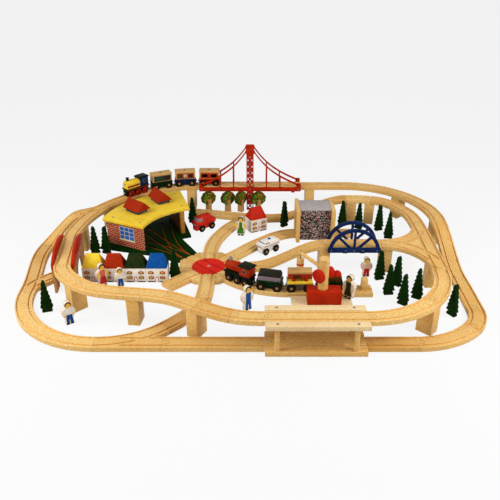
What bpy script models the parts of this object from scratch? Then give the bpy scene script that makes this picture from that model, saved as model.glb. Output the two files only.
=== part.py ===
"""A wooden railway set: grooved beech track on two levels, bridges, a turntable with its engine shed,
a crane, a station, houses, and two trains and two road vehicles whose wheels turn."""

import math
from collections import namedtuple

import bmesh
import bpy
from mathutils import Matrix, Vector
from mathutils.geometry import interpolate_bezier

MM = 0.001
GAP = 0.3 * MM  # clearance between pieces that touch
LAP = 2 * MM  # how far shapes that are joined run into each other
SKIN = 0.05 * MM  # keeps joined faces out of one plane

# Track: beech bars with two grooves, on the table or on piers
TRACK_WIDTH = 40 * MM
TRACK_THICK = 12 * MM
GROOVE_WIDTH = 8 * MM
GROOVE_DEPTH = 3 * MM
GAUGE = 26 * MM
PIER_HEIGHT = 65 * MM
PIER_ACROSS = 38 * MM
PIER_ALONG = 28 * MM
LARGE_RADIUS = 202 * MM
BACK_RADIUS = 255 * MM
CORNER_RADIUS = 190 * MM
SMALL_RADIUS = 110 * MM
LONG_STRAIGHT = 216 * MM
STRAIGHT = 144 * MM
BRICK_BRIDGE = 170 * MM
BRICK_CROWN = 20 * MM
BRICK_LIP = 1.5 * MM
BRICK_PASSAGE = 48 * MM
BRICK_THICK = 6.5 * MM
SHORT_STRAIGHT = 108 * MM
LOW = TRACK_THICK
HIGH = PIER_HEIGHT + TRACK_THICK
STEP_TURN = 11.25  # degrees of bend in each facet of a curve
END_STRAIGHT = 5 * MM  # straight bit at each end of a run
STEP_RISE = 9 * MM  # climb in each facet of a ramp
BUFFER_SIZE = (15 * MM, 16 * MM, 30 * MM)
BUFFER_SETBACK = 20 * MM

# Turntable
RING_REACH = 77 * MM  # centre to the flat sides of the octagon
DISC_RADIUS = 43 * MM
DISC_THICK = 9 * MM
PIVOT_RADIUS = 4 * MM
SPUR_LENGTH = 62 * MM

# Suspension bridge
SPAN = 320 * MM
TRUSS_THICK = 6 * MM
GIRDER_HEIGHT = 13 * MM
TOWER_WIDTH = 22 * MM
TOWER_HEIGHT = 200 * MM
CAP_WIDTH = 34 * MM
CAP_HEIGHT = 14 * MM
CABLE_THICK = 5 * MM
ANCHOR_HEIGHT = 26 * MM
HANGER_PLACES = (52 * MM, 94 * MM)
BEAM_HEIGHT = 7 * MM

# Arch bridge
ARCH_STRAIGHT = 143 * MM
ARCH_RADIUS = 66 * MM
ARCH_RIM = 9 * MM
ARCH_BASE = 13 * MM
ARCH_SPOKE = 6 * MM

# Tunnel
TUNNEL_LENGTH = 109 * MM
BOARD_THICK = 10.5 * MM
BOARD_DEPTH = 98 * MM
BOARD_HEIGHT = 93 * MM
TUNNEL_WALL = 8 * MM
TUNNEL_HEIGHT = 91.5 * MM
BORE_WIDTH = 46 * MM
BORE_HEIGHT = 76 * MM

# Station
PLANK_WIDTH = 20 * MM
PLANK_THICK = 10.5 * MM
SILL_WIDTH = 15 * MM
BACK_SILL_RISE = 2.5 * MM
STATION_POST = 6 * MM
STATION_POST_INSET = 25 * MM
CROSSBAR_HEIGHT = 8 * MM

# Engine shed
SHED_FROM = 107.0  # degrees round the turntable
SHED_TO = 155.0
SHED_INNER = (222 * MM, 198 * MM, 5 * MM)  # right end, left end and bulge of the front eaves
SHED_OUTER = (363 * MM, 331.5 * MM, 14.75 * MM)  # the same of the back eaves
SHED_NOTCH = (202 * MM, 185 * MM)  # where the base widens past its neck, right and left
SHED_APRON = 4.0  # degrees of base outside the brick wall
SHED_SIDES = (5.9, 2.2)  # degrees from the roof's ends to the right and left walls
SHED_POST = 12 * MM
SHED_LANE = 318 * MM  # how far the lanes reach into the stalls
SHED_STALLS = ((117.6, 104.0), (131.0, 127.0), (146.0, 151.0))  # place and heading of each lane's end
LANE_SPREAD = 1.6 * MM
SHED_BASE_THICK = 8 * MM
SHED_WALL_HEIGHT = 68 * MM
SHED_WALL_THICK = 8 * MM
SHED_ROOF_THICK = 8 * MM
SHED_EAVE = 6 * MM
DORMER = (52 * MM, 36 * MM, 10 * MM)
DORMER_ROOF = (66 * MM, 47 * MM, 24 * MM)
DORMERS = ((310 * MM, 120.5, 125.0), (287 * MM, 138.0, 140.0))  # place and heading of each ridge

# Houses
HOUSE_WIDTH = 53.5 * MM
HOUSE_DEPTH = 40 * MM
HOUSE_WALL = 40 * MM
HOUSE_ROOF = 32 * MM
HOUSE_COUNT = 4

# Railway vehicles, measured from the rail top
WHEEL_RADIUS = 11.5 * MM
DRIVER_RADIUS = 10.5 * MM
ROAD_WHEEL_RADIUS = 10.5 * MM
WHEEL_THICK = 3.4 * MM
AXLE_RADIUS = 1.6 * MM
WHEEL_SIDES = 14
FRAME_WIDTH = 18 * MM
FRAME_LOW = 4 * MM
BODY_WIDTH = 30 * MM
BODY_LOW = 21.5 * MM
COUPLER_RADIUS = 3 * MM
COUPLER_STAND = 3.5 * MM
WAGON_LENGTH = 67 * MM
WAGON_TOP = 50 * MM
ROOF_THICK = 4 * MM
WAGON_AXLES = (20 * MM, -20 * MM)
SHORT_WAGON = 62 * MM
FLAT_DECK = 6 * MM
TENDER_TOP = 47 * MM
ENGINE_LENGTH = 82 * MM
ENGINE_AXLES = (25 * MM, 0.0, -25 * MM)
BOARD = 4 * MM  # running board of an engine
BOILER_RADIUS = 12.5 * MM
CAB_LENGTH = 30 * MM
CAB_TOP = 50 * MM
CHIMNEY_RADIUS = 4.5 * MM
CHIMNEY_TOP = 58 * MM
ROAD_LENGTH = 60 * MM
ROAD_AXLES = (18 * MM, -18 * MM)
ROAD_BODY_TOP = 34 * MM
TRUCK_TOP = 45 * MM
VAN_TOP = 38 * MM
LAMP_HEIGHT = 4 * MM

# Crane
CRANE_AHEAD = 50.1 * MM
CRANE_ASIDE = 50.1 * MM
CRANE_PLATE = (143 * MM, 50 * MM, 8 * MM)
CRANE_BLOCK = (80 * MM, 34 * MM, 36 * MM)
MAST_RADIUS = 12 * MM
MAST_HEIGHT = 80 * MM
SPIGOT_RADIUS = 6 * MM
SPIGOT_DEPTH = 20 * MM
BOOM_RADIUS = 4.5 * MM
BOOM_RISE = 52 * MM  # where the boom leaves the mast, above the block
WINDER_RADIUS = 15 * MM
WINDER_THICK = 11 * MM
WINDER_SHAFT = 3 * MM
WINDER_RISE = 40 * MM
MAGNET_RADIUS = 9 * MM
MAGNET_LENGTH = 23 * MM
CORD_RADIUS = 1.2 * MM
CORD_DROP = 9.5 * MM
CRATE = (58 * MM, 24 * MM, 26.5 * MM)

# Fir trees
FIR_HEIGHT = 80 * MM
FIR_HALF = 13 * MM
FIR_TIP = 3.5 * MM
FIR_THICK = 11 * MM
FIR_TRUNK = 8 * MM
FIR_FOOT = 11 * MM
FIR_STEP = 2 * MM  # how far each tier of branches stands out
FIR_TIERS = 4

Pose = namedtuple("Pose", "x y top heading")


# Collections, materials and shapes
for old in list(bpy.data.objects):
    bpy.data.objects.remove(old, do_unlink=True)
parts = bpy.data.collections.new("wooden_train_set")
bpy.context.scene.collection.children.link(parts)
layout = bpy.data.objects.new("layout", None)
parts.objects.link(layout)


def material(name, colour, roughness=0.5, metallic=0.0):
    """A Principled material from a linear colour."""
    made = bpy.data.materials.new(name)
    made.use_nodes = True
    shader = made.node_tree.nodes["Principled BSDF"]
    shader.inputs["Base Color"].default_value = (*colour, 1.0)
    shader.inputs["Roughness"].default_value = roughness
    shader.inputs["Metallic"].default_value = metallic
    made.diffuse_color = (*colour, 1.0)
    return made


def shape(mesh):
    """A bare object in the scene, to be joined, cut or finished."""
    made = bpy.data.objects.new("shape", mesh)
    bpy.context.scene.collection.objects.link(made)
    return made


def from_bmesh(grid):
    mesh = bpy.data.meshes.new("shape")
    bmesh.ops.recalc_face_normals(grid, faces=grid.faces)
    grid.to_mesh(mesh)
    grid.free()
    return shape(mesh)


def box(low, high, taper=(1.0, 1.0)):
    """A block between two corners, with its top drawn in by taper."""
    grid = bmesh.new()
    bmesh.ops.create_cube(grid, size=1.0)
    low = Vector(low)
    high = Vector(high)
    for vert in grid.verts:
        if vert.co.z > 0:
            vert.co.x *= taper[0]
            vert.co.y *= taper[1]
        vert.co = low + (high - low) * (vert.co + Vector((0.5, 0.5, 0.5)))
    return from_bmesh(grid)


def block(size, low, centre=(0.0, 0.0), taper=(1.0, 1.0)):
    """A block of a given size that stands at height low over a centre."""
    half_x = size[0] / 2
    half_y = size[1] / 2
    x, y = centre
    return box((x - half_x, y - half_y, low), (x + half_x, y + half_y, low + size[2]), taper)


def rod(start, end, radius, sides=12, end_radius=None):
    """A round bar between two points."""
    start = Vector(start)
    along = Vector(end) - start
    grid = bmesh.new()
    turn = along.to_track_quat("Z", "Y").to_matrix().to_4x4()
    where = Matrix.Translation(start + along / 2) @ turn
    far = radius if end_radius is None else end_radius
    bmesh.ops.create_cone(
        grid, cap_ends=True, segments=sides, radius1=radius, radius2=far, depth=along.length, matrix=where
    )
    return from_bmesh(grid)


def evaluated(obj):
    """The object's mesh after its modifiers, with doubles merged."""
    bpy.context.view_layer.update()
    mesh = bpy.data.meshes.new_from_object(obj.evaluated_get(bpy.context.evaluated_depsgraph_get()))
    grid = bmesh.new()
    grid.from_mesh(mesh)
    bmesh.ops.remove_doubles(grid, verts=grid.verts, dist=0.0005 * MM)
    grid.to_mesh(mesh)
    grid.free()
    return mesh


def spline(curve, points, cyclic=False):
    line = curve.splines.new("POLY")
    line.points.add(len(points) - 1)
    for knot, point in zip(line.points, points):
        knot.co = (*point, 1.0)
    line.use_cyclic_u = cyclic


def plate(outline, low, high):
    """A flat outline in X and Y, thick from low to high."""
    curve = bpy.data.curves.new("outline", "CURVE")
    curve.dimensions = "2D"
    curve.fill_mode = "BOTH"
    curve.extrude = (high - low) / 2
    spline(curve, [(x, y, 0.0) for x, y in outline], cyclic=True)
    flat = shape(curve)
    mesh = evaluated(flat)
    bpy.data.objects.remove(flat)
    mesh.transform(Matrix.Translation((0, 0, (low + high) / 2)))
    grid = bmesh.new()
    grid.from_mesh(mesh)
    return from_bmesh(grid)


def upright(obj, y):
    """Stands a flat plate up, its X along X and its Y along Z, with its middle at y."""
    obj.data.transform(Matrix.Translation((0, y, 0)) @ Matrix.Rotation(math.pi / 2, 4, "X"))
    return obj


def sweep(points, half_width, low, high):
    """A bar of rectangular section along a path, from low to high beside the path's own height."""
    section = bpy.data.curves.new("section", "CURVE")
    section.dimensions = "2D"
    corners = [(-half_width, low), (-half_width, high), (half_width, high), (half_width, low)]
    spline(section, [(x, y, 0.0) for x, y in corners], cyclic=True)
    outline = shape(section)
    path = bpy.data.curves.new("path", "CURVE")
    path.dimensions = "3D"
    path.twist_mode = "Z_UP"
    path.bevel_mode = "OBJECT"
    path.bevel_object = outline
    path.use_fill_caps = True
    spline(path, points)
    guide = shape(path)
    made = shape(evaluated(guide))
    bpy.data.objects.remove(guide)
    bpy.data.objects.remove(outline)
    return made


def turned(profile, sides):
    """A turned shape about Z from its outer profile, top to bottom."""
    mesh = bpy.data.meshes.new("profile")
    mesh.from_pydata([(r, 0, z) for r, z in profile], [(i, i + 1) for i in range(len(profile) - 1)], [])
    made = shape(mesh)
    lathe = made.modifiers.new("Lathe", "SCREW")
    lathe.steps = sides
    lathe.render_steps = sides
    lathe.use_merge_vertices = True
    lathe.merge_threshold = 0.001 * MM
    made.data = evaluated(made)
    made.modifiers.clear()
    return made


def combined(base, others, operation):
    """The first shape joined with, or cut by, each of the others."""
    for other in others:
        step = base.modifiers.new("Step", "BOOLEAN")
        step.operation = operation
        step.solver = "EXACT"
        step.object = other
        base.data = evaluated(base)
        base.modifiers.clear()
        bpy.data.objects.remove(other)
    return base


def joined(shapes):
    return combined(shapes[0], shapes[1:], "UNION")


def cut(base, cutters):
    return combined(base, cutters, "DIFFERENCE")


def part(name, made, finish, parent=layout, place=None):
    """Names a finished piece, gives it its material and hangs it on its parent."""
    made.name = name
    made.data.name = name
    made.data.materials.clear()
    made.data.materials.append(finish)
    made.data.shade_smooth()
    made.data.set_sharp_from_angle(angle=math.radians(35))
    bpy.context.scene.collection.objects.unlink(made)
    parts.objects.link(made)
    made.parent = parent
    if place:
        made.location = place
    return made


def empty(name, where, heading=0.0, parent=layout):
    made = bpy.data.objects.new(name, None)
    parts.objects.link(made)
    made.parent = parent
    made.location = where
    made.rotation_euler = (0, 0, math.radians(heading))
    return made


# Poses along the track
def place(x, y, top, heading):
    """A pose from whole millimetres and degrees."""
    return Pose(x * MM, y * MM, top, heading)


def facing(pose):
    turn = math.radians(pose.heading)
    return Vector((math.cos(turn), math.sin(turn), 0))


def ahead(pose, length, top=None):
    step = facing(pose) * length
    return Pose(pose.x + step.x, pose.y + step.y, pose.top if top is None else top, pose.heading)


def aside(pose, offset):
    """The pose moved to its left."""
    step = facing(pose) * offset
    return Pose(pose.x - step.y, pose.y + step.x, pose.top, pose.heading)


def shifted(pose, x, y, heading):
    """A pose at an offset in millimetres from another, with a heading of its own."""
    return Pose(pose.x + x * MM, pose.y + y * MM, pose.top, heading)


def bend(pose, radius, degrees):
    """The pose after a curve; positive degrees turn left."""
    reach = radius if degrees > 0 else -radius
    centre = aside(pose, reach)
    turned_pose = centre._replace(heading=pose.heading + degrees)
    return aside(turned_pose, -reach)


def back(pose):
    return pose._replace(heading=pose.heading + 180)


def turn_between(first, second):
    return (second.heading - first.heading + 180) % 360 - 180


def level_straight(first, second):
    step = Vector((second.x - first.x, second.y - first.y, 0))
    drift = abs(step.cross(facing(first)).z)
    rise = abs(second.top - first.top)
    return abs(turn_between(first, second)) < 0.01 and drift < SKIN and rise < SKIN


def knots(first, second, spare):
    """Points of the smooth curve between two poses, without the first."""
    chord = math.hypot(second.x - first.x, second.y - first.y)
    turn = abs(turn_between(first, second))
    reach = chord / (3 * math.cos(math.radians(turn) / 4) ** 2)
    start = Vector((first.x, first.y, first.top))
    end = Vector((second.x, second.y, second.top))
    rise = abs(second.top - first.top)
    if level_straight(first, second):
        return [end]
    steps = max(3, math.ceil(turn / STEP_TURN), math.ceil(rise / STEP_RISE)) + spare
    curve = interpolate_bezier(
        start, start + facing(first) * reach, end - facing(second) * reach, end, steps + 1
    )
    return curve[1:]


def centre_line(run, offset=0.0, spare=0, trim=0.0):
    poses = [aside(pose, offset) for pose in run]
    poses[0] = ahead(poses[0], trim)
    poses[-1] = ahead(poses[-1], -trim)
    if not level_straight(poses[0], poses[1]):
        poses.insert(1, ahead(poses[0], END_STRAIGHT))
    if not level_straight(poses[-2], poses[-1]):
        poses.insert(-1, ahead(poses[-1], -END_STRAIGHT))
    points = [Vector((poses[0].x, poses[0].y, poses[0].top))]
    for first, second in zip(poses, poses[1:]):
        points += knots(first, second, spare)
    return points


def along(run, distance):
    """The pose at a distance along a run, on its facets."""
    points = centre_line(run, spare=20)
    for first, second in zip(points, points[1:]):
        step = (second - first).length
        if distance <= step:
            where = first.lerp(second, distance / step)
            heading = math.degrees(math.atan2(second.y - first.y, second.x - first.x))
            return Pose(where.x, where.y, where.z, heading)
        distance -= step
    return run[-1]


def pier(pose):
    """A wooden block under the track at a pose."""
    size = (PIER_ALONG, PIER_ACROSS, pose.top - TRACK_THICK + LAP)
    made = block(size, 0)
    turn = Matrix.Rotation(math.radians(pose.heading), 4, "Z")
    made.data.transform(Matrix.Translation((pose.x, pose.y, 0)) @ turn)
    return made


def grooves(run, shallower=0.0):
    """The two cutters that groove a run, past both of its ends."""
    cutters = []
    for side in (GAUGE / 2, -GAUGE / 2):
        points = centre_line(run, side, 1, -LAP)
        cutters.append(sweep(points, GROOVE_WIDTH / 2, shallower - GROOVE_DEPTH, LAP + shallower))
    return cutters


def track(name, runs, piers=(), extras=()):
    """A stretch of track: bars along its runs, joined to its piers, then grooved along each run."""
    shapes = []
    for number, run in enumerate(runs):
        inset = number * SKIN
        points = centre_line(run, trim=GAP / 2 + (LAP if number else 0))
        shapes.append(sweep(points, TRACK_WIDTH / 2 - inset, inset - TRACK_THICK, -inset))
    made = joined(shapes + [pier(pose) for pose in piers] + list(extras))
    for number, run in enumerate(runs):
        made = cut(made, grooves(run, number * SKIN))
    return part(name, made, beech)


beech = material("beech", (0.66, 0.43, 0.19), 0.5)
red = material("red_paint", (0.48, 0.03, 0.01), 0.4)
bright_red = material("bright_red_paint", (0.66, 0.03, 0.02), 0.4)
black = material("black_paint", (0.012, 0.014, 0.012), 0.4)
yellow = material("yellow_paint", (0.83, 0.56, 0.05), 0.4)
blue = material("blue_paint", (0.02, 0.03, 0.1), 0.4)
green = material("green_paint", (0.005, 0.03, 0.003), 0.5)
white = material("white_paint", (0.8, 0.74, 0.65), 0.5)
grey = material("grey_paint", (0.42, 0.4, 0.38), 0.6)
brick = material("brick_print", (0.45, 0.07, 0.02), 0.6)
brown = material("brown_paint", (0.3, 0.12, 0.02), 0.5)

# The plan of the track, seen from the front edge of the table
front_start = place(-330, 0, LOW, 0)
switch_end = ahead(front_start, STRAIGHT)
station_start = ahead(switch_end, LONG_STRAIGHT)
station_end = ahead(station_start, LONG_STRAIGHT)
front_end = ahead(station_end, SHORT_STRAIGHT)
branch_end = bend(front_start, LARGE_RADIUS, 45)

right_corner = bend(front_end, CORNER_RADIUS, 45)
right_start = bend(right_corner, SMALL_RADIUS, 43)
ramp_foot = ahead(right_start, STRAIGHT)._replace(heading=90)
ramp_head = ahead(ramp_foot, 236 * MM, HIGH)
back_line = place(292, 757, HIGH, 180)
bridge_right = back_line._replace(x=SPAN / 2 + 6 * MM)
bridge_left = back_line._replace(x=-SPAN / 2 - 6 * MM)
back_curve = bend(bridge_left, BACK_RADIUS, 46)
split = place(-428, 580, HIGH, 242)
inner_split = place(-469, 440, HIGH, 264)
outer_split = place(-487, 532, HIGH, 217)
left_foot = place(-565, 459, LOW, 263)
left_end = place(-540, 212, LOW, 272)
spur_end = place(-486, 300, LOW, 314)

inner_left = place(-471, 384, HIGH, 277.4)
inner_side = ahead(inner_left, LONG_STRAIGHT - 2 * PIER_ALONG)
inner_corner = place(-394, 142, HIGH, 317)
inner_front = place(-288, 101, HIGH, 351)
inner_mid = place(-187, 84, HIGH, 343)
inner_low = place(-116, 48, HIGH, 330)
inner_near = place(-38, 9, HIGH, 342)
platform_start = station_start._replace(top=HIGH)
platform_end = station_end._replace(top=HIGH)
loop_front = bend(platform_end, LARGE_RADIUS, 45)
loop_right = bend(platform_end, LARGE_RADIUS, 88)
wye_low = shifted(loop_right, 4, 37, 90)
wye_high = shifted(wye_low, 7, 204, 90)
loop_back = shifted(wye_high, -10, 109, 110)
loop_far = shifted(loop_back, -87, 95, 166)
loop_end = shifted(loop_far, -72, 6, 180)
arch_right = shifted(wye_low, -116, 108, 180)
arch_left = ahead(arch_right, ARCH_STRAIGHT)
table_line = place(58, 650, LOW, 184)
table_end = place(-190, 694, LOW, 176)

hub = place(-108, 335, LOW, 0)


def spoke(degrees):
    """The pose where a track meets the turntable's ring, facing out."""
    return ahead(hub._replace(heading=degrees), RING_REACH)


tunnel_in = place(131, 543, LOW, 0)
tunnel_out = place(300, 543, LOW, 0)
siding_start = ahead(spoke(-45), 6 * MM)
siding_flat = bend(siding_start, LARGE_RADIUS, 45)
siding_end = siding_flat._replace(x=297 * MM)

# Track on the table along the front, with the switch whose branch runs back to the turntable
track(
    "front_track",
    [
        [front_start, switch_end, station_start, station_end, front_end],
        [front_start, branch_end, place(-112, 180, LOW, 82), back(spoke(-90))],
    ],
)

# Right-hand corner, ramp and the raised curve to the bridge
track(
    "right_track",
    [[front_end, right_corner, right_start, ramp_foot, ramp_head, back_line, bridge_right]],
    [
        ahead(ramp_head, -PIER_ALONG / 2),
        along([ramp_head, back_line], 190 * MM),
        ahead(bridge_right, -24 * MM),
    ],
)

# Raised track over the bridge and round the back left, to the switch that splits it
track(
    "bridge_track",
    [
        [bridge_right, bridge_left, back_curve, split, inner_split],
        [split, outer_split],
    ],
    [ahead(bridge_left, 20 * MM), along([back_curve, split], 100 * MM), ahead(inner_split, -16 * MM)],
)

# Ramp down the left side, a switch on the table and the front left curve
track(
    "left_track",
    [
        [outer_split, left_foot, left_end, front_start],
        [left_end._replace(heading=90), spur_end._replace(heading=52)],
    ],
)

# Raised track round the inside left, between the arched sides of a brick bridge, and across the front
def brick_side(side):
    """One side of the brick bridge: a board with a crowned top and a round-headed passage."""
    half = BRICK_BRIDGE / 2
    rise = HIGH + BRICK_CROWN
    crown = BRICK_CROWN - BRICK_LIP
    radius = (half**2 + crown**2) / (2 * crown)
    turn = math.asin(half / radius)
    swing = [turn - 2 * turn * k / 10 for k in range(11)]
    outline = [(radius * math.sin(a), rise - radius + radius * math.cos(a)) for a in swing]
    outline += [(-half, 0), (-BRICK_PASSAGE, 0)]
    swing = [math.pi - math.pi * k / 12 for k in range(13)]
    outline += [(BRICK_PASSAGE * math.cos(a), BRICK_PASSAGE * math.sin(a)) for a in swing[1:-1]]
    outline += [(BRICK_PASSAGE, 0), (half, 0)]
    near = TRACK_WIDTH / 2 - LAP
    board = upright(plate(outline, -BRICK_THICK / 2, BRICK_THICK / 2), 0)
    board.data.transform(Matrix.Translation((0, side * (near + BRICK_THICK / 2), 0)))
    middle = ahead(inner_left, (LONG_STRAIGHT - 2 * PIER_ALONG) / 2)
    turn_to = Matrix.Rotation(math.radians(middle.heading), 4, "Z")
    board.data.transform(Matrix.Translation((middle.x, middle.y, 0)) @ turn_to)
    return board


track(
    "inner_track",
    [
        [inner_split, inner_left, inner_side, inner_corner, inner_front, inner_mid]
        + [inner_low, inner_near, platform_start]
    ],
    [
        along([inner_side, inner_corner], 90 * MM),
        along([inner_front, inner_mid], 31 * MM),
        inner_low,
    ],
    [brick_side(-1), brick_side(1)],
)

# Raised loop through the station and round the right, with a three-way junction
wye_runs = [[ahead(wye_low, -20 * MM), arch_right], [back(ahead(wye_high, 20 * MM)), arch_right]]
front_leg, back_leg = [[point[:2] for point in centre_line(run)[:-2]] for run in wye_runs]
junction = plate(front_leg + back_leg[::-1], PIER_HEIGHT + 4 * SKIN, HIGH - 4 * SKIN)
track(
    "loop_track",
    [
        [platform_start, platform_end, loop_front, loop_right]
        + [wye_low, wye_high, loop_back, loop_far, loop_end],
        *wye_runs,
    ],
    [loop_front, ahead(wye_low, 24 * MM), ahead(arch_right, -14 * MM), loop_far, ahead(loop_end, -16 * MM)],
    [junction],
)

# Over the arch bridge and down to the turntable
arch_foot = ahead(spoke(0), 40 * MM)._replace(y=hub.y + 5 * MM, heading=186)
track(
    "arch_track",
    [[arch_right, arch_left, arch_foot, back(spoke(0))]],
    [ahead(arch_left, 2 * MM)],
)

# Down behind the tunnel to the track along the back of the table, and round to the turntable
track(
    "back_track",
    [
        [loop_end, table_line, place(-24, 624, LOW, 215), place(-89, 520, LOW, 248), back(spoke(90))],
        [ahead(table_line, -20 * MM), table_end],
    ],
)

# From the turntable through the tunnel
track("tunnel_track", [[spoke(45), place(28, 480, LOW, 42), tunnel_in, tunnel_out]])

# The siding along the crane, with its buffer stop
buffer_low = TRACK_THICK - LAP
buffer_place = ahead(siding_end, -BUFFER_SETBACK)
track(
    "siding_track",
    [[spoke(-45), siding_start, siding_flat, siding_end]],
    extras=[block((*BUFFER_SIZE[:2], BUFFER_SIZE[2] + LAP), buffer_low, buffer_place[:2])],
)


# Turntable: an octagonal ring of track ends round a disc that turns on a pivot
def octagon(reach, low, high):
    corner = reach / math.cos(math.pi / 8)
    turns = [math.pi / 8 + k * math.pi / 4 for k in range(8)]
    return plate([(corner * math.cos(a), corner * math.sin(a)) for a in turns], low, high)


ring_reach = RING_REACH - GAP / 2
ring = octagon(ring_reach, 0, TRACK_THICK)
spur = Pose(0, 0, TRACK_THICK, -135)
spur_run = [ahead(spur, DISC_RADIUS), ahead(spur, RING_REACH + SPUR_LENGTH)]
spur_bar = sweep(centre_line(spur_run, trim=LAP), TRACK_WIDTH / 2, SKIN - TRACK_THICK, -SKIN)
ring = joined([ring, spur_bar])
well_floor = TRACK_THICK - DISC_THICK
well = rod((0, 0, well_floor), (0, 0, TRACK_THICK + LAP), DISC_RADIUS + GAP, 48)
socket = rod((0, 0, -LAP), (0, 0, TRACK_THICK), PIVOT_RADIUS + GAP, 16)
ring = cut(ring, [well, socket])
for number in range(8):
    aim = Pose(0, 0, TRACK_THICK, 45 * number)
    reach = RING_REACH + (SPUR_LENGTH if number == 5 else 0)
    ring = cut(ring, grooves([ahead(aim, DISC_RADIUS), ahead(aim, reach)], number % 2 * SKIN))
hub_place = (hub.x, hub.y, 0)
part("turntable_ring", ring, beech, place=hub_place)

disc = rod((0, 0, well_floor + GAP), (0, 0, TRACK_THICK), DISC_RADIUS, 48)
disc = joined([disc, rod((0, 0, GAP), (0, 0, TRACK_THICK - LAP), PIVOT_RADIUS, 16)])
disc_aim = Pose(0, 0, TRACK_THICK, -45)
disc = cut(disc, grooves([ahead(disc_aim, -DISC_RADIUS), ahead(disc_aim, DISC_RADIUS)]))
part("turntable_disc", disc, bright_red, place=hub_place)


# Suspension bridge: two red trusses with a tower each, tied by beams under the deck
def truss(y):
    girder_low = PIER_HEIGHT - 2 * MM
    girder_high = girder_low + GIRDER_HEIGHT
    half = TRUSS_THICK / 2
    cap_low = TOWER_HEIGHT - CAP_HEIGHT
    shapes = [
        box((-SPAN / 2, y - half, girder_low), (SPAN / 2, y + half, girder_high)),
        block((TOWER_WIDTH, TRUSS_THICK + 2 * SKIN, TOWER_HEIGHT - LAP), 0, (0, y)),
        block((CAP_WIDTH, TRUSS_THICK + 4 * SKIN, CAP_HEIGHT), cap_low, (0, y), (0.7, 1)),
    ]
    foot = Vector((SPAN / 2 - 8 * MM, y, girder_low + ANCHOR_HEIGHT - CABLE_THICK))
    crown = Vector((CAP_WIDTH / 2 - 4 * MM, y, cap_low + CABLE_THICK))
    sag = [foot, foot + Vector((-70, 0, 30)) * MM, crown + Vector((36, 0, -52)) * MM, crown]
    for side in (1, -1):
        line = [Vector((side * p.x, p.y, p.z)) for p in interpolate_bezier(*sag, 9)]
        shapes.append(sweep(line, half - SKIN, -CABLE_THICK / 2, CABLE_THICK / 2))
        end = side * (SPAN / 2 - 7 * MM)
        anchor = (14 * MM - SKIN, TRUSS_THICK - 4 * SKIN, ANCHOR_HEIGHT)
        shapes.append(block(anchor, girder_low + SKIN, (end, y)))
        for x in HANGER_PLACES:
            reach = min(line, key=lambda p: abs(abs(p.x) - x)).z
            size = (4 * MM, TRUSS_THICK - 6 * SKIN, reach - girder_low - CABLE_THICK / 2)
            shapes.append(block(size, girder_low + 2 * SKIN, (side * x, y)))
    return shapes


truss_place = TRACK_WIDTH / 2 + TRUSS_THICK / 2 + 1 * MM
beams = []
for x in (-SPAN / 2 + 24 * MM, 0, SPAN / 2 - 24 * MM):
    beam = (10 * MM, 2 * truss_place, BEAM_HEIGHT)
    beams.append(block(beam, PIER_HEIGHT - BEAM_HEIGHT - GAP, (x, 0)))
bridge = joined(truss(-truss_place) + truss(truss_place) + beams)
holes = []
for number in range(5):
    side = 9 * MM
    hole = block((side, 4 * truss_place, side), 0)
    turn = Matrix.Rotation(math.pi / 4, 4, "Y") @ Matrix.Translation((0, 0, -side / 2))
    hole.data.transform(Matrix.Translation((0, 0, (102 + 16 * number) * MM)) @ turn)
    holes.append(hole)
bridge = cut(bridge, holes)
part("suspension_bridge", bridge, red, place=(0, back_line.y, 0))

# Arch bridge: two half-round spoked trusses beside the deck, tied underneath
def half_round(y):
    outer = [math.pi * k / 16 for k in range(17)]
    rim = [(ARCH_RADIUS * math.cos(a), ARCH_RADIUS * math.sin(a)) for a in outer]
    inner = ARCH_RADIUS - ARCH_RIM
    rim += [(inner * math.cos(a), inner * math.sin(a)) for a in reversed(outer)]
    half = TRUSS_THICK / 2
    shapes = [upright(plate(rim, -half, half), 0)]
    base = block((2 * ARCH_RADIUS + LAP, TRUSS_THICK + 2 * SKIN, ARCH_BASE), -SKIN)
    shapes.append(base)
    for degrees in (45, 90, 135):
        bar = block((ARCH_SPOKE, TRUSS_THICK - 2 * SKIN, ARCH_RADIUS - ARCH_RIM / 2), 0)
        bar.data.transform(Matrix.Rotation(math.radians(90 - degrees), 4, "Y"))
        shapes.append(bar)
    for made in shapes:
        made.data.transform(Matrix.Translation((0, y, PIER_HEIGHT - 4 * MM)))
    made = joined(shapes)
    under = block((4 * ARCH_RADIUS, 4 * TRUSS_THICK, 40 * MM), PIER_HEIGHT - 44 * MM - 2 * SKIN, (0, y))
    return cut(made, [under])


arch_ties = []
for x in (-ARCH_RADIUS / 3, ARCH_RADIUS / 3):
    tie = (12 * MM, 2 * truss_place, BEAM_HEIGHT)
    arch_ties.append(block(tie, PIER_HEIGHT - BEAM_HEIGHT - GAP, (x, 0)))
arch = joined([half_round(-truss_place), half_round(truss_place)] + arch_ties)
arch_middle = (arch_right.x + arch_left.x) / 2
part("arch_bridge", arch, blue, place=(arch_middle, arch_right.y, 0))

# Tunnel: two end boards, walls and a flat roof
inside = TUNNEL_LENGTH - 2 * BOARD_THICK + 2 * LAP
shell = block((inside, BORE_WIDTH + 2 * TUNNEL_WALL, TUNNEL_HEIGHT), 0)
boards = []
for end in (-1, 1):
    middle = end * (TUNNEL_LENGTH - BOARD_THICK) / 2
    boards.append(block((BOARD_THICK, BOARD_DEPTH, BOARD_HEIGHT), SKIN, (middle, 0)))
shell = joined([shell] + boards)
bore = block((2 * TUNNEL_LENGTH, BORE_WIDTH, BORE_HEIGHT + LAP), -LAP)
part("tunnel", cut(shell, [bore]), grey, place=(tunnel_in.x + TUNNEL_LENGTH / 2, tunnel_in.y, 0))

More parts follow.
